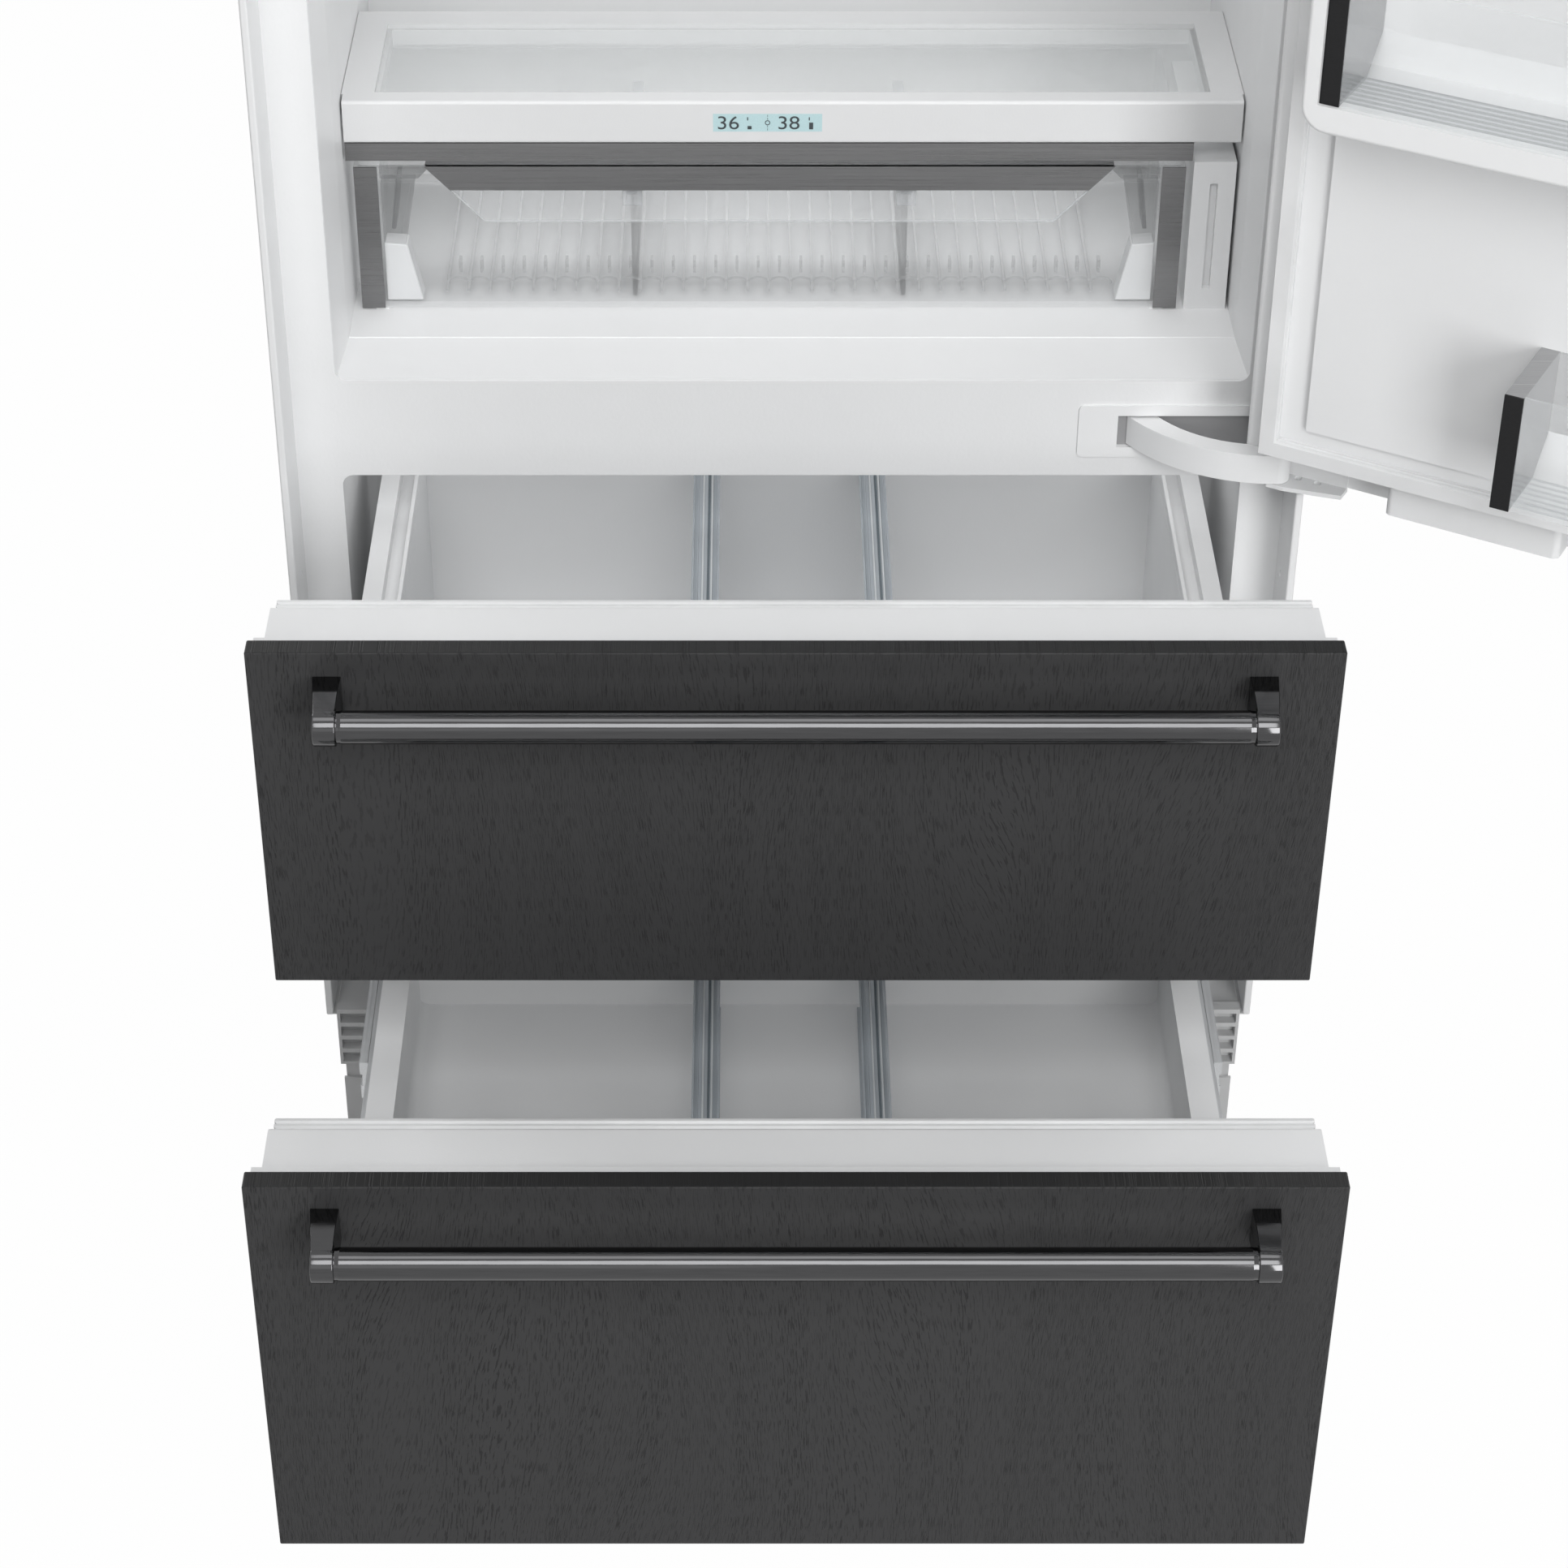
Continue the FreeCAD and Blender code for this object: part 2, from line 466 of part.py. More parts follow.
def fan_rotor(centre_z):
    """Hub with pitched blades, turning on a shaft along X."""
    hub_radius, depth = read("fan_hub"), read("fan_depth")
    axis = FreeCAD.Vector(1, 0, 0)
    middle = FreeCAD.Vector(depth / 2, 0, 0)
    shape = Part.makeCylinder(hub_radius, depth, FreeCAD.Vector(), axis)
    chord, thick = read("blade_chord"), read("blade_thick")
    root = hub_radius - thick
    count = int(read("fan_blades"))
    corner = FreeCAD.Vector((depth - chord) / 2, -thick / 2, root)
    for i in range(count):
        blade = Part.makeBox(chord, thick, read("fan_radius") - root, corner)
        blade.rotate(middle, FreeCAD.Vector(0, 0, 1), read("fan_twist"))
        blade.rotate(middle, axis, i * 360 / count)
        shape = shape.fuse(blade)
    bore = Part.makeCylinder(read("shaft_radius + pin_clear"), depth, FreeCAD.Vector(), axis)
    rotor = doc.addObject("Part::Feature", "fan_rotor")
    rotor.Shape = shape.cut(bore).removeSplitter()
    return bind(rotor, Base_x="fan_x + fan_gap", Base_y="machine_y", Base_z=centre_z)


def front_set(name, finish, x, face, bottom, height, shell, seal_inset):
    """Decorative panel, insulated shell and seal of a front that was made closed."""
    front = f"{face} - {PANEL_BACK}"
    panel = middle_block(x, f"{front} - panel_thick", bottom, "panel_width", "panel_thick", height)
    edges = [along(axis) for axis in "XYZ"]
    finish(f"{name}_panel", soften(panel, "panel_edge", *edges))
    base = middle_block(x, front, f"{bottom} + base_inset", "panel_width - 2 * base_inset", "base_thick",
                        f"{height} - 2 * base_inset")
    low, high = shell
    body_back = f"{face} - seal_clear - seal_depth"
    body = middle_block(x, f"{body_back} - shell_depth", low, "panel_width - 2 * shell_inset", "shell_depth",
                        f"{high} - ({low})")
    rear = read(body_back)
    rims = [along(axis, lambda b: b.YMin > rear - TOUCH) for axis in "XZ"]
    core = middle_block(x, front, f"{low} + shell_wall", "panel_width - 2 * (shell_inset + shell_wall)",
                        "base_thick + shell_depth - shell_wall", f"{high} - ({low}) - 2 * shell_wall")
    finish(f"{name}_shell", cut(join(base, soften(body, "shell_edge", *rims)), core))
    wide = f"panel_width - 2 * (shell_inset + {seal_inset})"
    tall = f"{high} - ({low}) - 2 * seal_inset"
    rings = []
    fold = "seal_depth / 2"
    for step, start, deep in (("0", "0", fold), ("seal_step", fold, fold)):
        outer = middle_block(x, f"{body_back} + {start}", f"{low} + seal_inset + {step}",
                             f"{wide} - 2 * {step}", deep, f"{tall} - 2 * {step}")
        inner = middle_block(x, f"{body_back} + {start}", f"{low} + seal_inset + seal_width",
                             f"{wide} - 2 * seal_width", deep, f"{tall} - 2 * seal_width")
        rings.append(cut(outer, inner))
    finish(f"{name}_seal", join(*rings))


def drawer(name, bottom, height, shell, box_bottom, box_height, wall, distance):
    """One pull-out drawer: front, handle, box, dividers and its telescopic slides."""
    def finish(label, piece):
        return slid(label, piece, distance)

    front_set(f"{name}_drawer", finish, "0", FACE, bottom, height, shell, "seal_inset")
    handle_z = f"({bottom} + {height} - handle_drop)"
    panel_front = f"({FACE} - {PANEL_BACK} - panel_thick)"
    bar_y = f"({panel_front} - bar_stand)"
    profile = ((panel_front, f"{handle_z} + post_rise"),
               (f"{panel_front} - post_shoulder", f"{handle_z} + post_rise"),
               (bar_y, f"{handle_z} + ferrule_radius"), (bar_y, f"{handle_z} - ferrule_radius"),
               (panel_front, f"{handle_z} - post_fall"))
    posts = []
    for side in (-1, 1):
        end = f"({side} * handle_reach)"
        inner = [f"({end} - {side} * {width})" for width in ("post_width", "ferrule_length")]
        starts = [end] * 2 if side < 0 else inner
        wedge = bind(outline_pad(profile, "post_width", "YZ_Plane"), Base_x=starts[0])
        rake = outline_pad(((inner[0], panel_front), (inner[0], bar_y), (inner[1], bar_y)),
                           "4 * ferrule_radius", "XY_Plane")
        bind(rake, Base_z=f"{handle_z} - 2 * ferrule_radius")
        collar = rod(starts[1], bar_y, handle_z, "ferrule_radius", "ferrule_length", "x")
        bore = rod(f"{end} - post_width", bar_y, handle_z, "bar_radius + post_clear", "2 * post_width", "x")
        posts.append(cut(join(cut(wedge, rake), collar), bore))
    finish(f"{name}_handle_posts", group(*posts))
    bar = rod("-handle_reach", bar_y, handle_z, "bar_radius", "2 * handle_reach", "x")
    finish(f"{name}_handle_bar", group(bar))

    box_front = f"({FACE} - seal_clear - seal_depth)"
    outer = middle_block("0", box_front, box_bottom, "box_width", "box_depth", box_height)
    well = middle_block("0", box_front, f"{box_bottom} + box_floor", f"box_width - 2 * {wall}",
                        "box_depth - box_back", box_height)
    floor = read(f"{box_bottom} + box_floor")
    hollows = [soften(well, "box_corner", along("Y", lambda b: b.ZMax < floor + TOUCH))]
    if name == "upper":
        hollows.append(middle_block("0", box_front, f"{box_bottom} + {box_height} - ledge_drop",
                                    "box_width - 2 * box_ledge", "box_depth - box_back", "ledge_drop"))
    finish(f"{name}_drawer_box", cut(outer, *hollows))
    foot, tall = f"{box_bottom} + box_floor", f"({box_height} - box_floor - divider_headroom)"
    run = (f"{box_front} + divider_end_gap", "box_depth - box_back - 2 * divider_end_gap")
    plates = []
    for x in ("-divider_offset", "divider_offset"):
        web = middle_block(x, run[0], foot, "divider_thick", run[1], tall)
        edges = [middle_block(x, run[0], level, "divider_flange", run[1], "divider_flange_thick")
                 for level in (foot, f"{foot} + {tall} - divider_flange_thick")]
        plates.append(join(web, *edges))
    finish(f"{name}_drawer_dividers", group(*plates))

    slide_z = f"{box_bottom} + slide_lift"

    def members(outside):
        pair = []
        for side in (-1, 1):
            bar = middle_block(f"{side} * ({outside} - slide_thick / 2)", box_front, slide_z, "slide_thick",
                               "box_depth", "slide_height")
            groove = middle_block(f"{side} * ({outside} - slide_groove_depth / 2)", box_front,
                                  f"{slide_z} + (slide_height - slide_groove) / 2", "slide_groove_depth",
                                  "box_depth", "slide_groove")
            pair.append(cut(bar, groove))
        return group(*pair)

    finish(f"{name}_slide_inner", members("box_width / 2 + slide_thick"))
    middle = members("box_width / 2 + 2 * slide_thick + slide_clear")
    slid(f"{name}_slide_middle", middle, f"{distance} / 2")
    return members("box_width / 2 + 3 * slide_thick + 2 * slide_clear")


def drawers():
    """Both drawers and the fixed slide members on the cabinet."""
    upper_top = f"(upper_panel_bottom + upper_panel_height)"
    lower_top = "(toe_height + lower_panel_height)"
    upper_shell = (f"(upper_panel_bottom + 2 * base_inset)", f"({upper_top} - 2 * base_inset)")
    lower_shell = ("(lower_floor - lower_shell_drop)", f"({lower_top} - 2 * base_inset)")
    upper_rails = drawer("upper", "upper_panel_bottom", "upper_panel_height", upper_shell, "upper_box_bottom",
                         "upper_box_height", "box_wall", "upper_open")
    lower_rails = drawer("lower", "toe_height", "lower_panel_height", lower_shell, "lower_box_bottom",
                         "lower_box_height", "lower_box_wall", "lower_open")
    node("slide_rails", group(upper_rails, lower_rails))


def door():
    """The hinged door, its handle, inner liner, bins, brackets and pins, made round the pin."""
    x, face = "(-pin_x)", "pin_ahead"
    bottom, height = "door_panel_bottom", "door_panel_height"
    low = f"({bottom} + door_shell_drop)"
    high = f"({bottom} + {height} - door_shell_head)"
    front_set("door", hung, x, face, bottom, height, (low, high), "door_seal_inset")
    panel_front = f"({face} - {PANEL_BACK} - panel_thick)"
    bar_x = "(-pin_x - panel_width / 2 + door_handle_inset)"
    bar_y = f"({panel_front} - bar_stand)"
    middle = f"({bottom} + {height} / 2)"
    profile = ((f"{bar_x} - post_fall", panel_front), (f"{bar_x} - ferrule_radius", bar_y),
               (f"{bar_x} + ferrule_radius", bar_y),
               (f"{bar_x} + post_rise", f"{panel_front} - post_shoulder"),
               (f"{bar_x} + post_rise", panel_front))
    posts = []
    for side in (-1, 1):
        end = f"({middle} + {side} * door_handle_reach)"
        inner = [f"({end} - {side} * {width})" for width in ("post_width", "ferrule_length")]
        starts = [end] * 2 if side < 0 else inner
        wedge = bind(outline_pad(profile, "post_width", "XY_Plane"), Base_z=starts[0])
        rake = outline_pad(((panel_front, inner[0]), (bar_y, inner[0]), (bar_y, inner[1])),
                           "4 * ferrule_radius", "YZ_Plane")
        bind(rake, Base_x=f"{bar_x} - 2 * ferrule_radius")
        collar = rod(bar_x, bar_y, starts[1], "ferrule_radius", "ferrule_length")
        bore = rod(bar_x, bar_y, f"{end} - post_width", "bar_radius + post_clear", "2 * post_width")
        posts.append(cut(join(cut(wedge, rake), collar), bore))
    hung("door_handle_posts", group(*posts))
    bar = rod(bar_x, bar_y, f"{middle} - door_handle_reach", "bar_radius", "2 * door_handle_reach")
    hung("door_handle_bar", group(bar))

    back = f"({face} - seal_clear - seal_depth)"
    dyke_wide = "(opening_width - 2 * dyke_gap)"
    dyke_low, dyke_high = "(fridge_floor + dyke_gap)", "(fridge_ceiling - dyke_gap)"
    ring_low, ring_high = "(bin_base - bin_ledge)", f"({dyke_high} - dyke_wall)"
    inner = f"({back} + liner_rise)"
    rim = middle_block(x, back, ring_low, dyke_wide, "dyke_reach", f"{dyke_high} - {ring_low}")
    tip = read(f"{back} + dyke_reach")
    softer = soften(rim, "dyke_corner", along("Y"))
    softest = soften(softer, "dyke_edge", lambda edge: edge.BoundBox.YMin > tip - TOUCH)
    well = middle_block(x, inner, "bin_base - bin_clear", f"{dyke_wide} - 2 * dyke_wall", "dyke_reach",
                        f"{ring_high} - bin_base + bin_clear")
    slab = middle_block(x, back, dyke_low, dyke_wide, "liner_rise", f"bin_base - {dyke_low}")
    hung("door_liner", join(cut(softest, well), slab))

    bin_wide = f"({dyke_wide} - 2 * dyke_wall - 2 * bin_clear)"
    rows = (("low_bin_base", "low_bin_gap"), ("bin_base", "0"), ("bin_base + bin_pitch", "0"))
    bins, trims = [], []
    for base, gap in rows:
        start = f"({x} - {bin_wide} / 2)"
        wide = f"({bin_wide} - {gap})"
        top = f"{base} + bin_height"

        def section(gap):
            near, low, far = f"{inner} + {gap}", f"{base} + {gap}", f"{inner} + bin_depth - {gap}"
            return ((near, f"{low} + bin_heel"), (f"{near} + bin_heel", low), (far, low), (far, top),
                    (near, top))

        tub = bind(outline_pad(section("0"), wide, "YZ_Plane"), Base_x=start)
        room = bind(outline_pad(section("bin_wall"), f"{wide} - 2 * bin_wall", "YZ_Plane"),
                    Base_x=f"{start} + bin_wall")
        bins.append(cut(tub, room))
        for end in ("0", f"{wide} - bin_trim_width"):
            trims.append(block(f"{start} + {end}", f"{inner} + bin_depth", base, "bin_trim_width",
                               "bin_trim_thick", "bin_height"))
    hung("door_bins", group(*bins))
    hung("bin_trims", group(*trims))

    plate_y = f"({face} - {PANEL_BACK} + base_thick)"
    brackets, pins = [], []
    for arm_bottom in ("lower_arm_bottom", "upper_arm_bottom"):
        under = f"({arm_bottom} - ear_clear - ear_thick)"
        over = f"({arm_bottom} + arm_height + ear_clear)"
        tall = "arm_height + 2 * (ear_clear + ear_thick)"
        spine = block("arm_tip_radius - ear_length", plate_y, under, "ear_length", "spine_thick", tall)
        far = "arm_tip_radius - ear_length"
        plan = ((far, plate_y), ("arm_tip_radius", plate_y), ("arm_tip_radius", "pin_radius"),
                ("pin_radius", "arm_tip_radius"), ("-arm_tip_radius", "arm_tip_radius"),
                (far, f"{plate_y} + ear_shoulder"))
        ears = [bind(outline_pad(plan, "ear_thick", "XY_Plane"), Base_z=level) for level in (under, over)]
        holes = [rod(f"-{k} * ear_hole_gap", "-ear_hole_gap / 2", under, "ear_hole", tall) for k in (1, 2)]
        pin_hole = rod("0", "0", under, "pin_radius", tall)
        brackets.append(cut(join(spine, *ears), pin_hole, *holes))
        pins.append(rod("0", "0", under, "pin_radius", tall))
    hung("hinge_brackets", group(*brackets))
    hung("hinge_pins", group(*pins))
    closer = block("-closer_start - closer_length", plate_y, f"{low} - closer_height", "closer_length",
                   "closer_depth", "closer_height")
    hung("door_closer_housing", soften(closer, "closer_edge", along("Z")))


def hinges():
    """Fixed gooseneck arms on the cabinet and the masks over their slots."""
    pin = FreeCAD.Vector(read("pin_x"), read(f"{FACE} - pin_ahead"), 0)
    tip, root = read("arm_tip_radius"), read("arm_root")
    plate_back = read(f"{FACE} + face_thick")
    left = read("slot_left + root_plate_thick + slot_margin")
    slope = math.radians(read("arm_neck_angle"))
    reach = FreeCAD.Vector(math.cos(slope), math.sin(slope), 0)
    outer_start = FreeCAD.Vector(left, plate_back, 0)
    inner_start = FreeCAD.Vector(left + root, plate_back, 0)
    outer_end = pin + FreeCAD.Vector(0, -tip, 0)
    inner_end = pin + FreeCAD.Vector(-tip * reach.x, tip * reach.y, 0)

    def bulge(start, end, sag):
        chord = end - start
        side = FreeCAD.Vector(chord.y, -chord.x, 0).normalize()
        return (start + end) * 0.5 + side * sag

    outer = Part.Arc(outer_start, bulge(outer_start, outer_end, read("arm_outer_sag")), outer_end).toShape()
    nose = Part.Arc(outer_end, pin + FreeCAD.Vector(tip, 0, 0), inner_end).toShape()
    inner = Part.Arc(inner_end, bulge(inner_start, inner_end, read("arm_inner_sag")), inner_start).toShape()
    close = Part.makeLine(inner_start, outer_start)
    section = Part.Face(Part.Wire([outer, nose, inner, close]))
    arms = []
    masks = []
    for bottom in ("lower_arm_bottom", "upper_arm_bottom"):
        arm = doc.addObject("Part::Feature", "arm")
        arm.Shape = section.extrude(FreeCAD.Vector(0, 0, read("arm_height")))
        bind(arm, Base_z=bottom)
        plate = block("pin_x - root_plate_width", f"{FACE} + face_thick",
                      f"{bottom} - (root_plate_height - arm_height) / 2", "root_plate_width",
                      "root_plate_thick",
                      "root_plate_height")
        eye = rod("pin_x", f"{FACE} - pin_ahead", bottom, "pin_radius + pin_clear", "arm_height")
        arms.append(cut(join(arm, plate), eye))
        mask = block("frame_width / 2 - mask_width", f"{FACE} - mask_thick",
                     f"{bottom} - (mask_height - arm_height) / 2", "mask_width", "mask_thick", "mask_height")
        slot = block("slot_left", f"{FACE} - mask_thick", f"{bottom} - slot_margin", "slot_right - slot_left",
                     "mask_thick", "arm_height + 2 * slot_margin")
        masks.append(cut(soften(mask, "mask_corner", along("Y")), slot))
    node("hinge_arms", group(*arms))
    node("hinge_masks", group(*masks))


def crisper():
    """Clear crisper drawer with steel trims, and the deck and controls above it."""
    front = f"({FACE} + crisper_setback)"
    bottom = "(room_floor + crisper_lift)"
    top = f"({bottom} + crisper_height)"
    wide = "(crisper_left + crisper_right)"
    centre = "((crisper_right - crisper_left) / 2)"
    outer = block("-crisper_left", front, bottom, wide, "crisper_depth", "crisper_height")
    room = block("-crisper_left + crisper_wall", f"{front} + crisper_wall", f"{bottom} + crisper_wall",
                 f"{wide} - 2 * crisper_wall", "crisper_depth - 2 * crisper_wall", "crisper_height")

    def dip(depth, thick, y):
        half_low = f"(dip_top / 2 - (dip_top - dip_bottom) / 2 * ({depth}) / dip_depth)"
        corners = ((f"{centre} - dip_top / 2", top), (f"{centre} + dip_top / 2", top),
                   (f"{centre} + {half_low}", f"{top} - {depth}"),
                   (f"{centre} - {half_low}", f"{top} - {depth}"))
        return bind(outline_pad(corners, thick), Base_y=f"{y} + {thick}")

    node("crisper_drawer", cut(outer, room, dip("dip_depth", "crisper_wall", front)))
    trims = [block(x, f"{front} - trim_thick", bottom, "trim_width", "trim_thick", "crisper_height")
             for x in ("-crisper_left", "crisper_right - trim_width")]
    node("crisper_trims", group(*trims, dip("pull_height", "crisper_wall", front)))
    plates = [middle_block(f"{centre} + {side} * crisper_divider_offset",
                           f"{front} + crisper_wall + crisper_divider_gap", f"{bottom} + crisper_wall",
                           "divider_thick", "crisper_depth - 2 * crisper_wall - crisper_divider_gap",
                           "crisper_divider_height") for side in (-1, 1)]
    node("crisper_dividers", group(*plates))

    deck_y = f"({FACE} + deck_front)"
    slab = middle_block("0", deck_y, "deck_top - deck_thick", "deck_width", "deck_end - deck_front",
                        "deck_thick")
    window_wide = "(deck_width - 2 * deck_window_side)"
    window_deep = "(deck_window_back - deck_window_front)"
    window = middle_block("0", f"{FACE} + deck_window_front", "deck_top - deck_thick", window_wide,
                          window_deep, "deck_thick")
    pane = ("0", f"{FACE} + deck_window_front - glass_lap / 2", "deck_top - glass_thick",
            f"{window_wide} + glass_lap", f"{window_deep} + glass_lap", "glass_thick")
    node("crisper_deck", cut(slab, window, middle_block(*pane)))
    node("crisper_glass", middle_block(*pane))
    fascia = middle_block("0", f"{deck_y} - fascia_thick", "deck_top - fascia_height", "fascia_width",
                          "fascia_thick", "fascia_height")
    lip = read(f"{deck_y} - fascia_thick")
    soft = soften(fascia, "fascia_edge", along("X", lambda b: b.YMin < lip + TOUCH))
    screen = ("display_shift", f"{deck_y} - fascia_thick", "deck_top - (fascia_height + display_height) / 2",
              "display_width", "display_thick", "display_height")
    node("control_fascia", cut(soft, middle_block(*screen)))
    node("display_window", middle_block(*screen))
    node("deck_trim", block("-fascia_width / 2", f"{deck_y} - fascia_thick + strip_gap",
                            "deck_top - fascia_height - strip_height", "fascia_width / 2 + strip_right",
                            "strip_thick", "strip_height"))
    module = block("module_left", front, "room_floor", "module_width", "module_depth", "module_height")
    slot = middle_block("(module_left + module_right) / 2", front,
                        "room_floor + (module_height - module_slot_height) / 2", "module_slot_width",
                        "module_slot_depth", "module_slot_height")
    node("air_filter_module", cut(module, slot))


def shelves():
    """Glass shelves on slotted wall tracks."""
    wall = f"({FACE} + fridge_depth)"
    frames, panes = [], []
    deep = "(fridge_depth - track_thick - shelf_front)"
    for i in range(2):
        level = f"(shelf_base + {i} * shelf_pitch)"
        slab = middle_block("0", f"{FACE} + shelf_front", level, "shelf_width", deep, "shelf_thick")
        inner = f"({FACE} + shelf_front + shelf_frame)"
        hole = middle_block("0", inner, level, "shelf_width - 2 * shelf_frame", f"{deep} - 2 * shelf_frame",
                            "shelf_thick")
        pane = ("0", f"{inner} - glass_lap", f"{level} + shelf_thick - glass_thick",
                "shelf_width - 2 * shelf_frame + 2 * glass_lap",
                f"{deep} - 2 * shelf_frame + 2 * glass_lap", "glass_thick")
        frames.append(cut(slab, hole, middle_block(*pane)))
        panes.append(middle_block(*pane))
    node("shelf_frames", group(*frames))
    node("shelf_glass", group(*panes))
    count = int((sheet.track_top - sheet.track_bottom) / sheet.track_slot_pitch)
    tracks = []
    for x in ("-track_offset", "track_offset"):
        rail = middle_block(x, f"{wall} - track_thick", "track_bottom", "track_width", "track_thick",
                            "track_top - track_bottom")
        slots = [middle_block(x, f"{wall} - track_thick",
                              f"track_bottom + {i} * track_slot_pitch + track_slot_height",
                              "track_slot_width", "track_thick / 2", "track_slot_height")
                 for i in range(count)]
        tracks.append(cut(rail, *slots))
    node("shelf_tracks", group(*tracks))


def export():
    """Check every object, then write one file for each sub-part."""
    doc.recompute()
    bad = [obj.Name for obj in doc.Objects if "Invalid" in obj.State or "Error" in obj.State]
    bad += [obj.Label for obj in nodes if obj.Shape.isNull() or not obj.Shape.isValid()]
    if bad:
        raise RuntimeError("these objects failed: " + ", ".join(bad))
    os.makedirs("parts", exist_ok=True)
    for obj in nodes:
        obj.Shape.exportStep(f"parts/{obj.Label}.step")
        print(obj.Label, len(obj.Shape.Solids), round(obj.Shape.Volume / 1000), "cm3")


carcass()
machine_compartment()
drawers()
door()
hinges()
crisper()
shelves()
export()
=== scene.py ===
"""Looks of a built-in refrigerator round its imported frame.

Metres, in the frame's own axes: X to the right, Y to the back, Z up. The file is laid out as an add-on and is run as
a script. Surfaces are worked out as whole numpy arrays, and every finish is made of shader nodes.
"""

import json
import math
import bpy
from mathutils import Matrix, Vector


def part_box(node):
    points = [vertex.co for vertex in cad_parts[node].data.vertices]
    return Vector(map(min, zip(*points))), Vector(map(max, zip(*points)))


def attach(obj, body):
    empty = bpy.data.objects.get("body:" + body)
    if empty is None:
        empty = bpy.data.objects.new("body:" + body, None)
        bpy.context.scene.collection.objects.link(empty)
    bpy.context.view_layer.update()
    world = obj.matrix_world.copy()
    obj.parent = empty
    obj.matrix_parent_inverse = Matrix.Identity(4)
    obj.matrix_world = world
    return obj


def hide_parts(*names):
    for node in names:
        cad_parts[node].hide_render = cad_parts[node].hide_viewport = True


bl_info = {
    "name": "Built-in refrigerator",
    "version": (1, 0, 0),
    "blender": (4, 5, 0),
    "location": "View3D > Sidebar > Refrigerator",
    "description": "Fronts, handles, clear bins and finishes of a built-in refrigerator",
    "category": "Object",
}

import bmesh
import bpy
import numpy as np
from bpy.props import FloatProperty, FloatVectorProperty, IntProperty, PointerProperty

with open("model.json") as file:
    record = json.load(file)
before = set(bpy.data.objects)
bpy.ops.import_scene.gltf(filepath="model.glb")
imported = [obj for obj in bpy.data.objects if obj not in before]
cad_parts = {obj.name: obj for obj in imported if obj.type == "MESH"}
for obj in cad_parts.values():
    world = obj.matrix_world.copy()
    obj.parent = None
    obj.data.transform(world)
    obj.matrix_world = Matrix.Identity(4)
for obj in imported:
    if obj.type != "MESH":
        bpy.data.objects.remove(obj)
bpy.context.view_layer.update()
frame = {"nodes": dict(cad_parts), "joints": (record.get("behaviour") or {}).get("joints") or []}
JOINTS = {joint["name"]: joint for joint in frame["joints"]}
PIN = np.array(JOINTS["door_hinge"]["pos_m"])
SWING = -math.radians(JOINTS["door_hinge"]["range_deg"][0])
TURNS = np.linspace(0, 2 * np.pi, 48, endpoint=False)
CREASE = math.radians(35)

# Sizes in metres that follow the source or that one step alone uses. An outline's row ends with its start and depth.

SENSOR = 36.0  # width of the camera's sensor in millimetres
LARGE_LAMP = 1.0  # a lamp that is wider shows in reflections
FLOOR = {"half": 9.0, "points": 7, "greys": (0.58, 0.61), "glow": 0.985}

# Handles: ends of a bar as steps of (in from the ring, share of the radius), and details of the posts.
NECK = {"steps": ((0.0, 0.0), (0.0, 0.97), (0.004, 0.97), (0.005, 0.995)), "end": 0.006, "bar": 0.995,
        "dish": 0.0008, "dish_rim": 3.2, "face_rim": 2.4, "reach": 0.985, "foot": 0.015, "skin": 0.0002, "step": 0.001}

# Crisper: the cut in its front as in the source, the lip of its pull, its ribs, corners, divider flanges and display.
DIP = {"side": 0.063, "slope": 0.052, "depth": 0.054}
PULL = {"deep": 0.014, "thick": 0.0016, "end": 0.0004}
COMB = {"floor": 0.006, "front": 0.020, "back": 0.012, "tab_start": 0.036, "tab_end": 0.046, "tab_rise": 3.2,
        "hoop": 0.012, "hoop_lift": 0.002, "hoop_rise": 0.006, "wire": 0.0011}
CORNER = {"wall": 0.002, "bead": 0.0010, "inset": 0.0225, "foot": 0.0045}
GUSSETS = ((((0, 0), (0.033, 0), (0.021, 0.056), (0, 0.058)), 0.003, 0.022),)
COLUMNS = ((((0, 0.058), (0.020, 0.056), (0.031, 0.118), (0, 0.118)), 0.003, 0.016),
           (((0, 0.122), (0.034, 0.122), (0.046, 0.1345), (0, 0.1345)), 0.001, 0.020),
           (((0.006, 0.063), (0.010, 0.063), (0.016, 0.112), (0.012, 0.112)), 0.020, 0.030))
FLANGE = {"half": 0.005, "thick": 0.003, "web": 0.0015, "clip": 0.009, "clip_height": 0.014, "clip_depth": 0.003,
          "edge": 0.0006}
MARK = {"skin": 0.0002, "half": 0.0018, "fill": 0.006, "foot": 0.001, "ring": 0.002, "wire": 0.0004,
        "tick": (0.0022, 0.0012, 0.0085, 0.0115), "rays": (-0.001, 0.0018, 0.0092, 0.012), "ray": 0.0018,
        "numbers": (("36", 0.045), ("38", 0.60)), "gauges": ((0.335, 0.35), (0.90, 0.9)), "sun": 0.5}

# Drawers: dividers, whose heads are (share of the half width, drop), and the inner lip of the upper drawer's box.
DIVIDER = {"half": 0.0125, "web": (0.002, 0.0034), "line": 0.0011, "line_drop": 0.0012, "line_end": 0.001,
           "head": ((1.0, 0.0030), (1.0, 0.0012), (0.86, 0.0012), (0.80, 0.0), (0.56, 0.0), (0.50, 0.0014),
                    (0.16, 0.0014), (0.10, 0.0006)),
           "dark": (-0.72, 0.22, 0.66), "light": (-0.2, 0.44)}
LIP = {"wall": 0.034, "thick": 0.004, "drop": 0.014, "below": 0.002, "end": 0.001}

